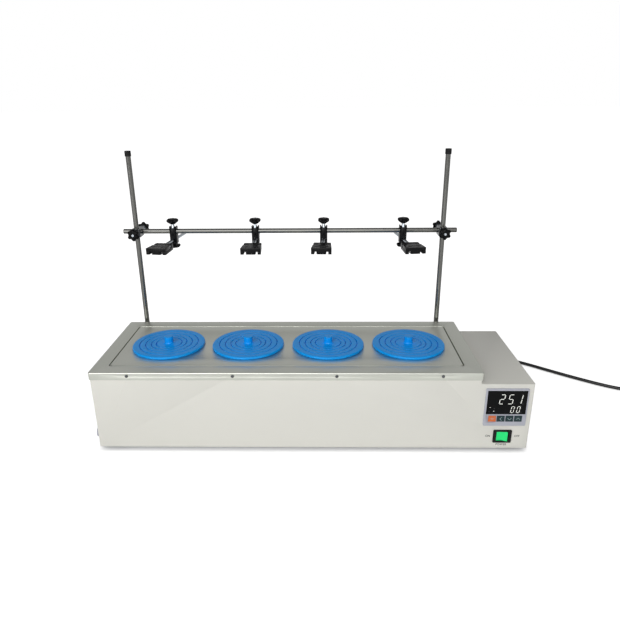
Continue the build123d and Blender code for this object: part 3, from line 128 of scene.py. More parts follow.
def spun(bm, profile, place, steps=96, material=0, closed=False):
    """Spins (radius, distance) points about local Z and puts the shape in its place."""
    made = [bm.verts.new((r, 0, z)) for r, z in profile]
    pairs = list(zip(made, made[1:])) + ([(made[-1], made[0])] if closed else [])
    edges = [bm.edges.new(pair) for pair in pairs]
    before = set(bm.faces)
    bmesh.ops.spin(bm, geom=made + edges, cent=(0, 0, 0), axis=(0, 0, 1), angle=2 * math.pi,
                   steps=steps, use_merge=True, use_duplicate=False)
    faces = [f for f in bm.faces if f not in before]
    verts = list({v for f in faces for v in f.verts})
    bmesh.ops.remove_doubles(bm, verts=verts, dist=0.001)
    faces = [f for f in bm.faces if f not in before]
    bmesh.ops.recalc_face_normals(bm, faces=faces)
    for face in faces:
        face.material_index = material
    bmesh.ops.transform(bm, matrix=place, verts=list({v for f in faces for v in f.verts}))


def copied(node, wanted=None):
    """A CAD node's shape in millimetres, merged, with flat areas joined, for a piece in its place.

    wanted picks whole solids of the node by the middle of each one.
    """
    bm = bmesh.new()
    bm.from_mesh(NODES[node].data)
    bmesh.ops.scale(bm, vec=(1 / MM, 1 / MM, 1 / MM), verts=bm.verts)
    bmesh.ops.remove_doubles(bm, verts=bm.verts, dist=0.002)
    if wanted:
        left = set(bm.verts)
        dropped = []
        while left:
            island, queue = [], [left.pop()]
            while queue:
                vert = queue.pop()
                island.append(vert)
                for edge in vert.link_edges:
                    other = edge.other_vert(vert)
                    if other in left:
                        left.remove(other)
                        queue.append(other)
            low = Vector([min(v.co[i] for v in island) for i in range(3)])
            high = Vector([max(v.co[i] for v in island) for i in range(3)])
            if not wanted(low, high):
                dropped += island
        bmesh.ops.delete(bm, geom=dropped, context='VERTS')
    bmesh.ops.dissolve_limit(bm, angle_limit=math.radians(1), verts=bm.verts, edges=bm.edges)
    return bm


def eased(bm, width, angle=40.0, segments=2):
    """Rounds every edge that turns by more than an angle, as moulding, casting or a deburr leaves it."""
    edges = [e for e in bm.edges if len(e.link_faces) == 2
             and e.calc_face_angle(0) > math.radians(angle)]
    bmesh.ops.bevel(bm, geom=edges, offset=width, offset_type='OFFSET', segments=segments,
                    profile=0.5, affect='EDGES', material=-1, clamp_overlap=True)
    return bm


def slab(bm, x, y, z, depth, material=0):
    """A flat block from two X, two Z limits and a front face at y, running back by depth."""
    low, high = (x[0], y, z[0]), (x[1], y + depth, z[1])
    made = bmesh.ops.create_cube(bm, size=1.0)["verts"]
    size = [b - a for a, b in zip(low, high)]
    bmesh.ops.scale(bm, vec=size, verts=made)
    bmesh.ops.translate(bm, vec=[(a + b) / 2 for a, b in zip(low, high)], verts=made)
    for face in {f for v in made for f in v.link_faces}:
        face.material_index = material
    return made


# Materials ----------------------------------------------------------------------------------

def surface(name, colour, roughness, spread=0.03, grain=None, depth=0.0, metal=0.0, level=0.5,
            worn=0.04, patch=40.0, **extra):
    """A Principled surface whose colour and gloss drift in patches, with a fine bump.

    grain is the bump's size along X, Y and Z in millimetres, patch that of the drift.
    """
    made = bpy.data.materials.new(name)
    made.use_nodes = True
    tree = made.node_tree
    tree.nodes.clear()
    place = add_node(tree, "ShaderNodeTexCoord").outputs["Object"]
    drift = add_node(tree, "ShaderNodeTexNoise",
                     {"Vector": place, "Scale": 1 / (patch * MM), "Detail": 4.0}).outputs["Fac"]
    tint = add_node(tree, "ShaderNodeMix", {"Factor": drift, "A": rgba(colour, 1 - spread),
                                            "B": rgba(colour, 1 + spread)}, data_type='RGBA')
    gloss = add_node(tree, "ShaderNodeMapRange",
                     {"Value": drift, "From Min": 0.3, "From Max": 0.7,
                      "To Min": max(0.02, roughness - worn), "To Max": min(1.0, roughness + worn)})
    shader = add_node(tree, "ShaderNodeBsdfPrincipled",
                      {"Base Color": tint.outputs["Result"], "Roughness": gloss.outputs["Result"],
                       "Metallic": metal, "Specular IOR Level": level, **extra})
    if grain:
        stretched = add_node(tree, "ShaderNodeMapping",
                             {"Vector": place, "Scale": [1 / (g * MM) for g in grain]})
        fine = add_node(tree, "ShaderNodeTexNoise",
                        {"Vector": stretched.outputs["Vector"], "Scale": 1.0, "Detail": 3.0})
        bump = add_node(tree, "ShaderNodeBump", {"Height": fine.outputs["Fac"], "Strength": 0.6,
                                                 "Distance": depth * MM})
        tree.links.new(bump.outputs["Normal"], shader.inputs["Normal"])
    out = add_node(tree, "ShaderNodeOutputMaterial")
    tree.links.new(shader.outputs["BSDF"], out.inputs["Surface"])
    return made


def glowing(name, colour, strength):
    """A lamp or lit segment: its own light over a smooth lens."""
    return surface(name, colour, 0.3, **{"Emission Color": rgba(colour),
                                         "Emission Strength": strength})


def finishes():
    """Every finish of the bath, by name; made once and shared by its pieces."""
    look = bpy.context.scene.bath_look
    if not FINISH:
        FINISH.update({
            # Powder-coated mild steel, baked: a fine orange peel of about 1.5 mm under a satin skin
            "powder coat": surface("powder_coated_steel", look.paint, 0.42, 0.012, (1.6, 1.6, 1.6),
                                   0.012, level=0.35, patch=120),
            # Stainless sheet, grade 304, brushed along its length: scratches of 0.25 x 30 mm, drawn coarser
            "brushed": surface("brushed_stainless_sheet", look.steel, 0.34, 0.07, (40, 0.7, 0.7),
                               0.004, metal=1.0, worn=0.06, patch=70),
            # The same sheet where the press drew it: duller, with broad stains from hot water
            "pressed": surface("pressed_stainless_tank", look.steel, 0.3, 0.1, (6, 6, 6), 0.01,
                               metal=1.0, patch=45),
            # Centreless-ground steel rod: smooth, dark at its sides because it mirrors the room
            "ground rod": surface("ground_steel_rod", look.rod, 0.18, 0.04, metal=1.0, patch=25),
            # Zinc-plated steel and die-cast zinc: bluish and slightly cloudy
            "zinc": surface("zinc_plated_steel", linear("#B9C0C6"), 0.3, 0.08, (0.8, 0.8, 0.8),
                            0.004, metal=1.0, patch=6),
            # Nickel-plated screws and castings: smooth, so they mirror a mostly dark room
            "nickel": surface("nickel_plated_casting", linear("#5E6062"), 0.22, 0.08,
                              (0.8, 0.8, 0.8), 0.004, metal=1.0, patch=6),
            # Galvanised steel sheet: spangle of 12 mm
            "galvanised": surface("galvanised_sheet", linear("#9FA3A4"), 0.45, 0.12, metal=1.0,
                                  patch=12),
            # Moulded polypropylene, glossy on its top and softened by handling
            "blue lid": surface("moulded_polypropylene", look.lid, 0.3, 0.03, (0.9, 0.9, 0.9),
                                0.002, level=0.22, patch=30,
                                **{"Coat Weight": 0.08, "Coat Roughness": 0.2}),
            # Phenolic knob: glossy black with rubbed lobes
            "knob": surface("moulded_phenolic", linear("#060607"), 0.36, 0.2, (0.7, 0.7, 0.7),
                            0.002, level=0.12, patch=6),
            # Stove enamel over cast iron: runs a little thick, so its edges catch the light
            "enamel": surface("black_stove_enamel", linear("#070709"), 0.26, 0.2, (1.4, 1.4, 1.4),
                              0.004, level=0.16, patch=9),
            # ABS, bead-blasted mould: 0.3 mm grit
            "grey abs": surface("textured_grey_abs", look.bezel, 0.5, 0.02, (0.5, 0.5, 0.5), 0.006,
                                level=0.4),
            "black abs": surface("textured_black_abs", linear("#0C0C0D"), 0.4, 0.1,
                                 (0.5, 0.5, 0.5), 0.005, level=0.25),
            # Smoked acrylic sheet in front of the display: glossy and nearly black
            "smoked": surface("smoked_acrylic", linear("#07080A"), 0.1, 0.1, level=0.12, worn=0.02),
            "rubber": surface("moulded_nitrile_rubber", linear("#161616"), 0.75, 0.15,
                              (0.6, 0.6, 0.6), 0.01, level=0.3, patch=8),
            # PVC sheath of the cord: slightly glossy, with the strands' lay just showing
            "pvc": surface("pvc_cord_sheath", linear("#0C0C0C"), 0.38, 0.2, (3, 3, 3), 0.02,
                           level=0.5, patch=15),
            # Silicone keys, matt and soft
            "orange key": surface("orange_silicone_key", look.key, 0.55, 0.03, (0.4, 0.4, 0.4),
                                  0.003, level=0.3, patch=5),
            "dark key": surface("dark_silicone_key", linear("#23383C"), 0.55, 0.05,
                                (0.4, 0.4, 0.4), 0.003, level=0.3, patch=5),
            "brass": surface("turned_brass", linear("#C9A75C"), 0.28, 0.08, (2, 0.4, 0.4), 0.004,
                             metal=1.0, patch=8),
            # Natural polyethylene cap, milky grey
            "pale cap": surface("milky_polyethylene", linear("#C3C3CE"), 0.45, 0.03,
                                (0.9, 0.9, 0.9), 0.005, patch=6),
            # Screen-printed ink, matt
            "ink": surface("screen_ink", linear("#141415"), 0.6, 0.05, level=0.2, patch=3),
            "pale ink": surface("pale_screen_ink", linear("#AFC2C4"), 0.6, 0.05, patch=3),
            "segment": glowing("white_led_segment", linear("#D9DAD4"), 0.65),
            "faint": surface("unlit_led_segment", linear("#3A3D3F"), 0.4, patch=3),
            # Translucent green rocker with a neon lamp behind it
            "lit green": glowing("lit_green_polycarbonate", look.rocker, 0.33),
            # Painted shade: a dark matt colour that stands for the shade inside the screws' cross recesses
            "painted_recess_shade": surface("painted_recess_shadow", linear("#1B1C1C"), 0.8),
        })
    return FINISH


FINISH = {}


def coat(node, finish):
    """Gives a CAD node that stays its finish."""
    piece = NODES[node]
    made = finishes()[finish]
    if not piece.material_slots:
        raise RuntimeError(node + " has no material slot")
    for held in piece.material_slots:
        held.link = 'OBJECT'
        held.material = made


# Sizes and colours that a user would change ---------------------------------------------------

class BathLook(bpy.types.PropertyGroup):
    """Colours of the bath's finishes, linear."""
    paint: FloatVectorProperty(name="Case", description="Powder coat of the case",
                               subtype='COLOR', default=linear("#EDECE4"), min=0, max=1)
    steel: FloatVectorProperty(name="Steel", description="Brushed deck and lip",
                               subtype='COLOR', default=linear("#D2D4CB"), min=0, max=1)
    rod: FloatVectorProperty(name="Rods", description="Ground rods of the stand",
                             subtype='COLOR', default=linear("#6E6E6B"), min=0, max=1)
    lid: FloatVectorProperty(name="Lids", description="Moulded rings and caps",
                             subtype='COLOR', default=linear("#06A2FF"), min=0, max=1)
    bezel: FloatVectorProperty(name="Bezel", description="Controller's frame",
                               subtype='COLOR', default=linear("#BFC1CC"), min=0, max=1)
    key: FloatVectorProperty(name="Set key", description="Orange key of the controller",
                             subtype='COLOR', default=linear("#E2794A"), min=0, max=1)
    rocker: FloatVectorProperty(name="Rocker", description="Lit rocker of the switch",
                                subtype='COLOR', default=linear("#16D873"), min=0, max=1)


class BathShape(bpy.types.PropertyGroup):
    """Sizes of the pieces that are shaped here, in millimetres."""
    rim_round: FloatProperty(name="Rim", description="Rounding of a lid's outer rim", default=2.1,
                             min=0.5, max=2.2)
    ring_round: FloatProperty(name="Ring edges", description="Rounding beside each groove",
                              default=0.4, min=0.2, max=1.5)
    edge_round: FloatProperty(name="Cast edges", description="Rounding of the clamps' edges",
                              default=0.9, min=0.1, max=1.5)
    groove: FloatProperty(name="Groove", description="Gap between two rings", default=1.4,
                          min=0.2, max=1.5)
    digits: StringProperty(name="Upper digits", description="Temperature shown", default="251")
    set_digits: StringProperty(name="Lower digits", description="Value shown below", default="00")
    coil_turns: FloatProperty(name="Coil turns", description="Turns of the put-away cord",
                              default=4.25, min=1, max=8)
    turn_points: IntProperty(name="Points a turn", description="Control points of each turn",
                             default=14, min=12, max=24)


# Stage ----------------------------------------------------------------------------------------

class SCENE_OT_bath_stage(bpy.types.Operator):
    """Sets the camera, the lamps, the floor and the white surroundings"""
    bl_idname = "scene.bath_stage"
    bl_label = "Stage"

    def execute(self, context):
        scene = context.scene
        scene.view_settings.view_transform = 'Standard'
        lens = bpy.data.cameras.new("photo_camera")
        lens.sensor_width = 36.0
        lens.lens = 32.85
        lens.clip_end = 100.0
        camera = bpy.data.objects.new("photo_camera", lens)
        yaw, pitch, roll = -0.0222, 0.3561, -0.0093
        ahead = Vector((math.sin(yaw) * math.cos(pitch), math.cos(yaw) * math.cos(pitch),
                        -math.sin(pitch)))
        right = Vector((math.cos(yaw), -math.sin(yaw), 0))
        up = right.cross(ahead)
        right, up = (right * math.cos(roll) + up * math.sin(roll),
                     up * math.cos(roll) - right * math.sin(roll))
        camera.matrix_world = (Matrix.Translation((0.02407, -1.05089, 0.60682))
                               @ Matrix((right, up, -ahead)).transposed().to_4x4())
        scene.collection.objects.link(camera)
        scene.camera = camera

        # A wide soft bank from the front, a weak low one from the right and a weaker one overhead
        for name, place, size, power in (("key", (-0.9, -2.6, 1.5), (3.2, 2.4), 63),
                                         ("fill", (1.9, -2.0, 0.9), (1.2, 1.2), 5),
                                         ("top", (0.0, 0.4, 2.6), (2.4, 1.6), 7)):
            lamp = bpy.data.lights.new(name, 'AREA')
            lamp.shape = 'RECTANGLE'
            lamp.size, lamp.size_y = size
            lamp.energy = power
            held = bpy.data.objects.new(name, lamp)
            held.matrix_world = along(place, Vector(place) - Vector((0, 0, 0.15)))
            scene.collection.objects.link(held)

        # White to the camera and through glass, and a soft grey as a source of light. What metal
        # shows is a studio: pale behind the camera, half as pale at the far wall, dark at the sides.
        world = bpy.data.worlds.new("studio")
        world.use_nodes = True
        tree = world.node_tree
        tree.nodes.clear()
        path = add_node(tree, "ShaderNodeLightPath").outputs
        seen = add_node(tree, "ShaderNodeMath", {0: path["Is Camera Ray"], 1: path["Is Transmission Ray"]},
                        operation='MAXIMUM').outputs[0]
        ray = add_node(tree, "ShaderNodeTexCoord").outputs["Generated"]
        ray = add_node(tree, "ShaderNodeSeparateXYZ", {0: ray}).outputs
        walls = add_node(tree, "ShaderNodeMapRange", {"Value": ray["Y"], "From Min": -1.0})
        room = add_node(tree, "ShaderNodeValToRGB", {"Fac": walls.outputs["Result"]})
        ramp = room.color_ramp.elements
        ramp[0].position, ramp[0].color = 0.0, (1, 1, 1, 1)
        ramp[1].position, ramp[1].color = 1.0, (0.5, 0.5, 0.5, 1)
        for spot, value in ((0.2, 0.9), (0.38, 0.13), (0.62, 0.1), (0.84, 0.4), (0.92, 0.53)):
            ramp.new(spot).color = (value, value, value, 1)
        strength = add_node(tree, "ShaderNodeMix", {"Factor": path["Is Glossy Ray"], "A": 0.13,
                                                    "B": room.outputs["Color"]}).outputs["Result"]
        strength = add_node(tree, "ShaderNodeMath", {0: seen, 1: strength},
                            operation='MAXIMUM').outputs[0]
        lit = add_node(tree, "ShaderNodeBackground", {"Color": (1, 1, 1, 1), "Strength": strength})
        out = add_node(tree, "ShaderNodeOutputWorld")
        tree.links.new(lit.outputs["Background"], out.inputs["Surface"])
        scene.world = world

        bm = bmesh.new()
        bmesh.ops.create_circle(bm, cap_ends=True, segments=64, radius=40.0)
        mesh = bpy.data.meshes.new("floor")
        bm.to_mesh(mesh)
        bm.free()
        floor = bpy.data.objects.new("floor", mesh)
        scene.collection.objects.link(floor)
        white = bpy.data.materials.new("white_sweep")
        white.use_nodes = True
        tree = white.node_tree
        tree.nodes.clear()
        path = add_node(tree, "ShaderNodeLightPath").outputs
        seen = add_node(tree, "ShaderNodeMath", {0: path["Is Glossy Ray"], 1: 0.5},
                        operation='MULTIPLY').outputs[0]
        seen = add_node(tree, "ShaderNodeMath", {0: path["Is Camera Ray"], 1: seen},
                        operation='MAXIMUM').outputs[0]
        shade = add_node(tree, "ShaderNodeBsdfDiffuse", {"Color": (0.8, 0.8, 0.8, 1)})
        # Lifted to white further out, and darkened by a painted contact shadow (an occlusion term in the
        # glow) where the object stands close over it
        place = add_node(tree, "ShaderNodeTexCoord").outputs["Object"]
        away = add_node(tree, "ShaderNodeVectorMath", {0: place}, operation='LENGTH').outputs["Value"]
        lift = add_node(tree, "ShaderNodeMapRange", {"Value": away, "From Min": 0.35, "From Max": 1.0,
                                                     "To Min": 0.76, "To Max": 0.95}).outputs["Result"]
        near = add_node(tree, "ShaderNodeAmbientOcclusion", {"Distance": 0.018}, samples=8)
        lift = add_node(tree, "ShaderNodeMath", {0: lift, 1: near.outputs["AO"]},
                        operation='MULTIPLY').outputs[0]
        lift = add_node(tree, "ShaderNodeMath", {0: seen, 1: lift}, operation='MULTIPLY').outputs[0]
        glow = add_node(tree, "ShaderNodeEmission", {"Color": (1, 1, 1, 1), "Strength": lift})
        both = add_node(tree, "ShaderNodeAddShader", {0: shade.outputs[0], 1: glow.outputs[0]})
        out = add_node(tree, "ShaderNodeOutputMaterial")
        tree.links.new(both.outputs[0], out.inputs["Surface"])
        mesh.materials.append(white)
        return {'FINISHED'}


# Cord -----------------------------------------------------------------------------------------

CORD_ROUTE = [(367.25, 107.85, 45), (367.25, 132, 45), (368.5, 157, 38), (372, 179, 23),
              (380, 199, 9), (395, 216, 3.5), (416, 228, 3.5), (441, 231, 3.5), (467, 225, 3.5),
              (494, 212, 3.5), (523, 191, 3.5), (553, 165, 3.5), (585, 138, 3.5),
              (618, 112, 3.5), (651, 88, 3.5), (680, 71, 3.5), (704, 64.5, 3.5),
              (730, 64.5, 3.5)]


class OBJECT_OT_bath_cord(bpy.types.Operator):
    """Lays the mains cord from its gland to its plug, and finishes the gland and the plug"""
    bl_idname = "object.bath_cord"
    bl_label = "Mains cord"

    def execute(self, context):
        shape = context.scene.bath_shape
        made = finishes()
        points = [Vector(p) for p in CORD_ROUTE]
        centre = Vector((775.0, 110.0, 0))
        count = round(shape.coil_turns * shape.turn_points)
        for i in range(count + 1):
            turn = i / shape.turn_points
            # Three turns side by side on the bench, then over them and out again
            if turn < 3:
                radius, height = 45.5 - 7.0 * min(turn, 2.0), 3.5
            else:
                radius, height = 31.5 + 14.0 * (turn - 3) / (shape.coil_turns - 3), 10.0
            if 2.75 < turn < 3.15:
                height = 3.5 + 6.5 * min(1.0, (turn - 2.75) / 0.3)
            loose = 1.014 + 0.006 * math.sin(5.1 * turn)
            angle = 2 * math.pi * turn - math.pi / 2
            points.append(centre + Vector((math.cos(angle) * radius * loose,
                                           math.sin(angle) * radius * loose, height)))
        points += [Vector((820.5, 130, 10)), Vector((820.5, 150, 10)), Vector((820.5, 170, 10))]
        curve = bpy.data.curves.new("mains_cord", 'CURVE')
        curve.dimensions = '3D'
        curve.bevel_depth = 3.5 * MM
        curve.bevel_resolution = 6
        curve.resolution_u = 10
        curve.use_fill_caps = True
        line = curve.splines.new('NURBS')
        line.points.add(len(points) - 1)
        for held, point in zip(line.points, points):
            held.co = (*(point * MM), 1.0)
        line.order_u = 3
        line.use_endpoint_u = True
        curve.materials.append(made["pvc"])
        cord = bpy.data.objects.new("mains_cord", curve)
        context.scene.collection.objects.link(cord)
        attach(cord, BODY_OF["power_cord"])
        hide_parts("power_cord", "cord_coil")

        # Plug: moulded body with softened edges and bare brass blades
        bm = copied("power_plug")
        blades = corner("power_plug", True).y - 17.0
        eased(bm, 0.4, 50)
        for face in bm.faces:
            face.material_index = int(face.calc_center_median().y > blades + 0.01)
        plug = finished("mains_plug", bm, "power_plug", made["black abs"], made["brass"],
                        replaced=["power_plug"])

        # Strain relief: tapered rubber with ribs across it
        low, high = corner("cord_gland"), corner("cord_gland", True)
        profile = [(3.6, 0), (8.0, 0), (8.0, 2.2), (6.0, 3.0), (6.0, 7.2)]
        for i in range(7):
            start = 7.6 + i * 3.6
            radius = 6.0 - 1.9 * (start - 7.0) / 27.0
            profile += [(radius, start), (radius, start + 2.2), (radius - 0.9, start + 2.5),
                        (radius - 1.0, start + 3.3)]
        profile += [(4.1, high.y - low.y - 0.3), (3.6, high.y - low.y)]
        bm = bmesh.new()
        spun(bm, profile, along((367.25, low.y, 45.0), (0, 1, 0)), closed=True)
        finished("strain_relief", bm, "cord_gland", made["rubber"], replaced=["cord_gland"])
        return {'FINISHED'}


# Sheet metal ----------------------------------------------------------------------------------

class OBJECT_OT_bath_body(bpy.types.Operator):
    """Finishes the case, the stainless top, the tank and what stands in it"""
    bl_idname = "object.bath_body"
    bl_label = "Body"

    def execute(self, context):
        made = finishes()
        for name, node, finish, width in (("painted_case", "case", "powder coat", 0.3),
                                          ("stainless_top", "tank", "brushed", 0.25),
                                          ("deck_cover", "deck_plate", "brushed", 0.25)):
            finished(name, eased(copied(node), width, 50), node, made[finish], replaced=[node])
        for node, finish in (("base_plate", "galvanised"), ("heater", "pressed"),
                             ("shelf", "brushed"), ("temperature_probe", "pressed"),
                             ("feet", "rubber"), ("drain_spigot", "brass")):
            coat(node, finish)

        # Knurled cap of the drain, with a softened end
        finished("drain_cover", eased(copied("drain_cap"), 0.35, 40), "drain_cap",
                 made["pale cap"], replaced=["drain_cap"])

        # Pan head screws with a cross recess
        bm = bmesh.new()
        left, front = corner("tank").x, corner("tank").y
        back = corner("tank", True).y
        top = corner("tank", True).z
        seats = [(left + 347.5 + x, y, top - 6.2, side)
                 for x in (-278.5, -91.5, 91.5, 276.5) for y, side in ((front, -1), (back, 1))]
        low, high = corner("rod_brackets"), corner("rod_brackets", True)
        for x in (low.x + 5.5, low.x + 38.5, high.x - 38.5, high.x - 5.5):
            for z in (low.z + 12.0, high.z - 9.0):
                seats.append((x, corner("case", True).y + 3.0, z, 1))
        for x, y, z, side in seats:
            place = along((x, y, z), (0, side, 0))
            spun(bm, [(0, 0), (2.8, 0), (2.8, 0.7), (2.5, 1.25), (1.9, 1.6), (1.1, 1.76), (0, 1.8)],
                 place, steps=24)
            # The cross recess is drawn as a dark cross in painted shade
            for turn in (0.3, 0.3 + math.pi / 2):
                cross = bmesh.ops.create_cube(bm, size=1.0)["verts"]
                bmesh.ops.scale(bm, vec=(2.6, 0.55, 0.3), verts=cross)
                bmesh.ops.rotate(bm, matrix=Matrix.Rotation(turn, 3, 'Z'), verts=cross)
                bmesh.ops.transform(bm, matrix=place @ Matrix.Translation((0, 0, 1.63)),
                                    verts=cross)
                for face in {f for v in cross for f in v.link_faces}:
                    face.material_index = 1
        finished("pan_head_screws", bm, "case_screws", made["nickel"], made["painted_recess_shade"],
                 replaced=["case_screws"])
        return {'FINISHED'}


# Lids -----------------------------------------------------------------------------------------

class OBJECT_OT_bath_lids(bpy.types.Operator):
    """Shapes the four lids: rings that lie in one another and a cap with a knob"""
    bl_idname = "object.bath_lids"
    bl_label = "Lids"

    def execute(self, context):
        shape = context.scene.bath_shape
        blue = finishes()["blue lid"]
        edge, rim = shape.ring_round, shape.rim_round

        def rounded(cx, cz, radius, start, end, steps=6):
            """Points of an arc in a section, from one angle to another in degrees."""
            return [(cx + radius * math.cos(math.radians(start + (end - start) * i / steps)),
                     cz + radius * math.sin(math.radians(start + (end - start) * i / steps)))
                    for i in range(steps + 1)]

        radii = [69.0, 56.5, 45.2, 34.5, 25.3]
        for n in range(1, 5):
            rings, cap = f"lid_{n}_rings", f"lid_{n}_cap"
            seat = Vector((*middle(rings).xy, corner("tank", True).z))
            place = Matrix.Translation(seat)
            bm = bmesh.new()
            for outer, inner in zip(radii, radii[1:]):
                first = outer == radii[0]
                out, size = (outer, rim) if first else (outer - shape.groove, edge)
                profile = [(inner - 3.0, 0.0)]
                profile += ([(57.7, 0), (57.7, -3.5), (61.7, -3.5), (61.7, 0), (outer - 0.8, 0),
                             (outer, 0.8)] if first
                            else [(out - 3.0, 0), (out - 3.0, 1.3), (out, 1.3)])
                profile += rounded(out - size, 4.5 - size, size, 0, 90)
                profile += [(out * 0.55 + inner * 0.45, 4.5)]
                profile += rounded(inner + edge, 4.5 - edge, edge, 90, 180)
                profile += [(inner, 1.2), (inner - 3.0, 1.2)]
                spun(bm, profile, place, steps=120, closed=True)
            finished(f"lid_{n}_blue_rings", bm, rings, blue, replaced=[rings])

            # Cap: shallow dish that rises to the knob
            bm = bmesh.new()
            rim_at = radii[-1] - shape.groove
            profile = [(0, 0), (21.0, 0), (21.0, 1.3), (rim_at, 1.3)]
            profile += rounded(rim_at - edge, 4.5 - edge, edge, 0, 90)
            profile += [(20.5, 4.5), (14.0, 4.62), (10.6, 4.8), (9.2, 5.3), (8.5, 6.4), (8.25, 9.0)]
            profile += rounded(8.35 - 1.3, 18.0 - 1.3, 1.3, 0, 90)
            profile += [(3.0, 18.0), (0, 18.0)]
            spun(bm, profile, place, steps=96)
            finished(f"lid_{n}_blue_cap", bm, cap, blue, replaced=[cap])
        return {'FINISHED'}


# Stand and clamps -----------------------------------------------------------------------------

def star(bm, place, diameter, low, high, cone=0.0, hub=3.2, lobes=6, material=0):
    """Star knob from low to high along local Z; cone is how far its underside tapers down."""
    half = diameter / 2
    made = bmesh.ops.create_circle(bm, cap_ends=True, segments=96, radius=half)["verts"]
    for vert in made:
        angle = math.atan2(vert.co.y, vert.co.x)
        step = 2 * math.pi / lobes
        off = (angle + step / 2) % step - step / 2
        centre, cut = 0.62 * diameter, 0.22 * diameter
        inside = cut ** 2 - (centre * math.sin(off)) ** 2
        if inside > 0:
            reach = centre * math.cos(off) - math.sqrt(inside)
            vert.co *= min(half, reach) / half
    face = made[0].link_faces[0]
    bmesh.ops.translate(bm, vec=(0, 0, low), verts=made)
    part = set(made)

    def raised(rise, inset):
        """Extrudes the open face, then shrinks it, and keeps its new corners."""
        nonlocal face
        face = bmesh.ops.extrude_discrete_faces(bm, faces=[face])["faces"][0]
        verts = list(face.verts)
        bmesh.ops.translate(bm, vec=(0, 0, rise), verts=verts)
        bmesh.ops.scale(bm, vec=(1 - inset / half, 1 - inset / half, 1), verts=verts)
        part.update(verts)

    thick = high - low
    bmesh.ops.scale(bm, vec=(0.94, 0.94, 1), verts=made)
    raised(0.06 * thick, -0.06 * half)
    raised(0.5 * thick, 0.0)
    raised(0.26 * thick, 0.12 * half)
    raised(0.18 * thick, 0.35 * half)
    # The underside, and its cone down to the hub
    bottom = bm.faces.new(list(reversed(made)))
    if cone:
        face = bottom
        raised(-cone * 0.25, 0.12 * half)
        raised(-cone * 0.75, half - hub - 0.12 * half)
    bmesh.ops.recalc_face_normals(bm, faces=list({f for v in part for f in v.link_faces}))
    for side in {f for v in part for f in v.link_faces}:
        side.material_index = material
    bmesh.ops.transform(bm, matrix=place, verts=list(part))


class OBJECT_OT_bath_stand(bpy.types.Operator):
    """Finishes the rods, their caps and brackets, the bossheads and the bossheads' screws"""
    bl_idname = "object.bath_stand"
    bl_label = "Stand"

    def execute(self, context):
        made = finishes()
        for name, node, finish, width in (("stand_rods", "uprights", "ground rod", 0.0),
                                          ("cross_rod", "crossbar", "ground rod", 0.0),
                                          ("rod_end_caps", "rod_caps", "rubber", 0.0),
                                          ("cast_brackets", "rod_brackets", "zinc", 0.8),
                                          ("cast_bossheads", "bossheads", "nickel", 1.2)):
            bm = copied(node)
            finished(name, eased(bm, width, 60, 3) if width else bm, node, made[finish],
                     replaced=[node])
        for hand in ("left", "right"):
            for where, sign in (("front", -1), ("rear", 1)):
                node = f"boss_screw_{hand}_{where}"
                low, high = corner(node), corner(node, True)
                end = high.y if sign > 0 else low.y
                start = (low.y if sign > 0 else high.y) - sign * 5.3
                place = along((middle(node).x, start, middle(node).z), (0, sign, 0))
                reach = abs(end - start)
                seat = reach - 8.7
                bm = bmesh.new()
                spun(bm, [(0, 5.3), (2.6, 5.3), (3.0, 5.8), (3.0, 8.8), (3.3, 8.8), (3.7, 9.2),
                          (6.8, seat - 0.3), (6.8, seat), (3.0, seat + 0.1)], place, 48, 1)
                spun(bm, [(2.6, reach - 1.0), (2.6, reach - 0.25), (2.35, reach), (0, reach)],
                     place, 32, 1)
                star(bm, place, 25.0, seat, reach - 0.7, hub=7.0)
                finished(f"{hand}_{where}_boss_knob", bm, node, made["knob"], made["zinc"],
                         replaced=[node])
        return {'FINISHED'}


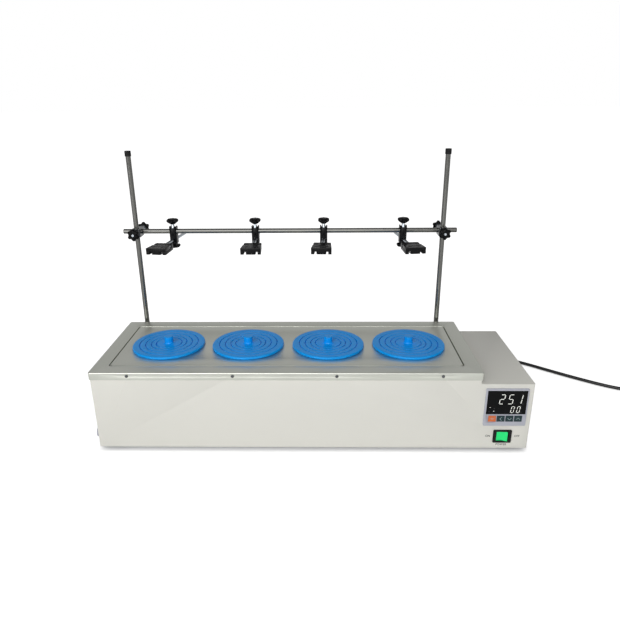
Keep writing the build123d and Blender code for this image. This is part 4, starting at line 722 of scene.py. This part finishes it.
class OBJECT_OT_bath_clamps(bpy.types.Operator):
    """Shapes the four clamps: holders, star screws, stems and jaws"""
    bl_idname = "object.bath_clamps"
    bl_label = "Clamps"

    def execute(self, context):
        made = finishes()
        width = context.scene.bath_shape.edge_round
        for n in range(1, 5):
            holder, stem, jaw = f"clamp_{n}_holder", f"clamp_{n}_stem", f"clamp_{n}_jaw"
            finished(f"clamp_{n}_block", eased(copied(holder), 0.5, 60), holder, made["enamel"],
                     replaced=[holder])
            # The stem is bare steel, and the lower jaw enamelled with its pin
            rod = copied(stem, lambda low, high: high.y - low.y > 60)
            finished(f"clamp_{n}_stem_rod", rod, stem, made["zinc"], replaced=[stem])
            lower = copied(stem, lambda low, high: high.y - low.y < 60 and high.z - low.z > 5)
            finished(f"clamp_{n}_lower_jaw", eased(lower, width, 50), stem, made["enamel"],
                     replaced=[stem])
            pin = copied(stem, lambda low, high: high.z - low.z < 5 and high.y - low.y < 12)
            finished(f"clamp_{n}_hinge_pin", pin, stem, made["zinc"], replaced=[stem])
            finished(f"clamp_{n}_upper_jaw", eased(copied(jaw), width, 50), jaw, made["enamel"],
                     replaced=[jaw])

            # Screw down on the crossbar, and screw up on the stem
            node = f"clamp_{n}_bar_screw"
            axis = Vector((*middle(node).xy, 0))
            bm = bmesh.new()
            place = Matrix.Translation(axis + Vector((0, 0, corner(node).z - 5.3)))
            spun(bm, [(0, 5.3), (2.1, 5.3), (2.5, 5.8), (2.5, 7.1), (4.5, 7.2), (4.5, 7.8),
                      (2.7, 12.6), (2.5, 13.0), (2.5, 17.0)], place, 40, 1)
            star(bm, place, 24.5, 20.0, 26.5, cone=5.5, hub=3.5)
            finished(f"clamp_{n}_bar_knob", bm, node, made["knob"], made["zinc"], replaced=[node])

            node = f"clamp_{n}_stem_screw"
            axis = Vector((*middle(node).xy, 0))
            bm = bmesh.new()
            place = along(axis + Vector((0, 0, corner(node, True).z + 3.3)), (0, 0, -1))
            spun(bm, [(0, 3.3), (2.1, 3.3), (2.5, 3.8), (2.5, 7.1), (4.5, 7.2), (4.5, 7.8),
                      (2.6, 9.9), (2.5, 10.4)], place, 40, 1)
            star(bm, place, 24.5, 10.0, 16.5, hub=3.5)
            finished(f"clamp_{n}_stem_knob", bm, node, made["knob"], made["zinc"],
                     replaced=[node])
        return {'FINISHED'}


# Controller and switch ------------------------------------------------------------------------

SEGMENTS = {"0": "abcdef", "1": "bc", "2": "abged", "5": "afgcd"}


def digit(bm, sign, x, z, width, height, bar, y, lit=0, dark=None):
    """Seven-segment digit with its lower left corner at x and z, leaning to the right."""
    half = height / 2
    gap = bar * 0.18
    spots = {"a": (0, height, 1), "g": (0, half, 1), "d": (0, 0, 1), "f": (0, half, 0),
             "b": (width, half, 0), "e": (0, 0, 0), "c": (width, 0, 0)}
    for key, (dx, dz, flat) in spots.items():
        if key not in SEGMENTS[sign] and dark is None:
            continue
        made = bmesh.ops.create_circle(bm, cap_ends=True, segments=6, radius=1.0)["verts"]
        long = (width if flat else half) / 2 - gap
        for vert in made:
            # A hexagon drawn out into a bar with pointed ends
            tip = abs(vert.co.x) > 0.9
            u = math.copysign(long if tip else long - bar / 2, vert.co.x)
            v = 0.0 if tip else math.copysign(bar / 2, vert.co.y)
            if not flat:
                u, v = v, u
            px = dx + (width / 2 if flat else 0) + u
            pz = dz + (0 if flat else half / 2) + v
            vert.co = (x + px + 0.14 * pz, y, z + pz)
        face = made[0].link_faces[0]
        face.material_index = lit if key in SEGMENTS[sign] else dark
        face.normal_update()
        if face.normal.y > 0:
            face.normal_flip()


class OBJECT_OT_bath_controller(bpy.types.Operator):
    """Finishes the controller with its display and keys, and the words beside the switch"""
    bl_idname = "object.bath_controller"
    bl_label = "Controller"

    def execute(self, context):
        made = finishes()
        shape = context.scene.bath_shape
        finished("controller_bezel", eased(copied("controller"), 0.35, 50), "controller",
                 made["grey abs"], replaced=["controller"])
        low, high = corner("display_window"), corner("display_window", True)
        coat("display_window", "smoked")

        # Lit digits, and the small lamps at the lower left, some lit and some unlit
        bm = bmesh.new()
        y = low.y - 0.04
        for place, sign in enumerate(shape.digits):
            digit(bm, sign, low.x + 21.2 + 15.3 * place, high.z - 25.8, 7.4, 18.2, 1.2, y, 0, None)
        for place, sign in enumerate(shape.set_digits):
            digit(bm, sign, low.x + 42.6 + 10.4 * place, high.z - 43.3, 4.9, 12.2, 1.1, y, 0, None)
        for x, z, material in ((6.2, 32.8, 0), (13.3, 40.6, 0), (13.6, 35.2, 1), (5.2, 41.4, 1),
                               (48.0, 25.6, 1), (62.8, 25.6, 1), (50.8, 43.0, 1), (61.2, 43.0, 1)):
            disc = bmesh.ops.create_circle(bm, cap_ends=True, segments=20, radius=0.75,
                                           matrix=Matrix.Translation((low.x + x, y, high.z - z))
                                           @ FRONT)["verts"]
            for face in {f for v in disc for f in v.link_faces}:
                face.material_index = material
        finished("display_digits", bm, "display_window", made["segment"], made["faint"])

        # Keys with their signs
        for key, finish, sign in (("set", "orange key", "bars"), ("shift", "dark key", "left"),
                                  ("down", "dark key", "down"), ("up", "dark key", "up")):
            node = f"key_{key}"
            bm = eased(copied(node), 0.45, 50, 3)
            mid, front = middle(node), corner(node).y
            turn = {"left": 90, "down": 180, "up": 0, "bars": None}[sign]
            signs = []
            if turn is None:
                for i, half in enumerate((3.2, 2.2)):
                    signs += slab(bm, (mid.x - half, mid.x + half), front - 0.03,
                                  (mid.z + 0.9 - 2.2 * i, mid.z + 1.5 - 2.2 * i), 0.06, 1)
            else:
                for side in (-1, 1):
                    arm = slab(bm, (-2.3, 2.3), front - 0.03, (-0.4, 0.4), 0.06, 1)
                    bmesh.ops.rotate(bm, verts=arm, cent=(0, 0, 0),
                                     matrix=Matrix.Rotation(math.radians(side * 42), 3, 'Y'))
                    bmesh.ops.translate(bm, verts=arm, vec=(side * 1.6, 0, 0.3))
                    signs += arm
                bmesh.ops.rotate(bm, verts=signs, cent=(0, 0, 0),
                                 matrix=Matrix.Rotation(math.radians(-turn), 3, 'Y'))
                bmesh.ops.translate(bm, verts=signs, vec=(mid.x, 0, mid.z))
            finished(f"{key}_key", bm, node, made[finish], made["pale ink"], replaced=[node])

        # Words of the switch, printed on the panel
        panel = corner("case").y
        spot = middle("switch_frame")
        for word, x, z, size in (("ON", spot.x - 25.8, spot.z, 3.9),
                                 ("OFF", spot.x + 26.7, spot.z, 3.9),
                                 ("POWER", spot.x - 0.2, spot.z - 17.6, 4.0)):
            text = bpy.data.curves.new(word, 'FONT')
            text.body = word
            text.size = size / 0.7
            text.align_x, text.align_y = 'CENTER', 'CENTER'
            text.offset = 0.06
            holder = bpy.data.objects.new(word, text)
            flat = bpy.data.meshes.new_from_object(holder)
            bm = bmesh.new()
            bm.from_mesh(flat)
            bmesh.ops.transform(bm, verts=bm.verts,
                                matrix=Matrix.Translation((x, panel - 0.03, z)) @ FRONT)
            finished(f"word_{word.lower()}", bm, "case", made["ink"])
            bpy.data.objects.remove(holder)
        return {'FINISHED'}


class OBJECT_OT_bath_switch(bpy.types.Operator):
    """Finishes the mains switch: frame and lit rocker"""
    bl_idname = "object.bath_switch"
    bl_label = "Switch"

    def execute(self, context):
        made = finishes()
        finished("switch_surround", eased(copied("switch_frame"), 0.4, 50), "switch_frame",
                 made["black abs"], replaced=["switch_frame"])
        finished("green_rocker", eased(copied("rocker"), 0.5, 50, 3), "rocker",
                 made["lit green"], replaced=["rocker"])
        return {'FINISHED'}


class VIEW3D_PT_bath(bpy.types.Panel):
    """Lists the bath's pieces, sizes and colours"""
    bl_label = "Water bath"
    bl_idname = "VIEW3D_PT_bath"
    bl_space_type = 'VIEW_3D'
    bl_region_type = 'UI'
    bl_category = "Water bath"

    def draw(self, context):
        layout = self.layout
        for group in (context.scene.bath_look, context.scene.bath_shape):
            for name in group.__annotations__:
                layout.prop(group, name)
        for operator in OPERATORS:
            layout.operator(operator.bl_idname)


OPERATORS = (SCENE_OT_bath_stage, OBJECT_OT_bath_cord, OBJECT_OT_bath_body, OBJECT_OT_bath_lids,
             OBJECT_OT_bath_stand, OBJECT_OT_bath_clamps, OBJECT_OT_bath_controller,
             OBJECT_OT_bath_switch)
CLASSES = (BathLook, BathShape) + OPERATORS + (VIEW3D_PT_bath,)


def register():
    for cls in CLASSES:
        bpy.utils.register_class(cls)
    bpy.types.Scene.bath_look = PointerProperty(type=BathLook)
    bpy.types.Scene.bath_shape = PointerProperty(type=BathShape)
    bpy.types.Scene.bath_cord_length = FloatProperty(
        name="Cord", description="Length of the mains cord", default=1.594, unit='LENGTH')


def unregister():
    del bpy.types.Scene.bath_cord_length
    del bpy.types.Scene.bath_shape
    del bpy.types.Scene.bath_look
    for cls in reversed(CLASSES):
        bpy.utils.unregister_class(cls)


def main():
    register()
    for operator in OPERATORS:
        group, name = operator.bl_idname.split(".")
        getattr(getattr(bpy.ops, group), name)()


if __name__ == "__main__":
    main()
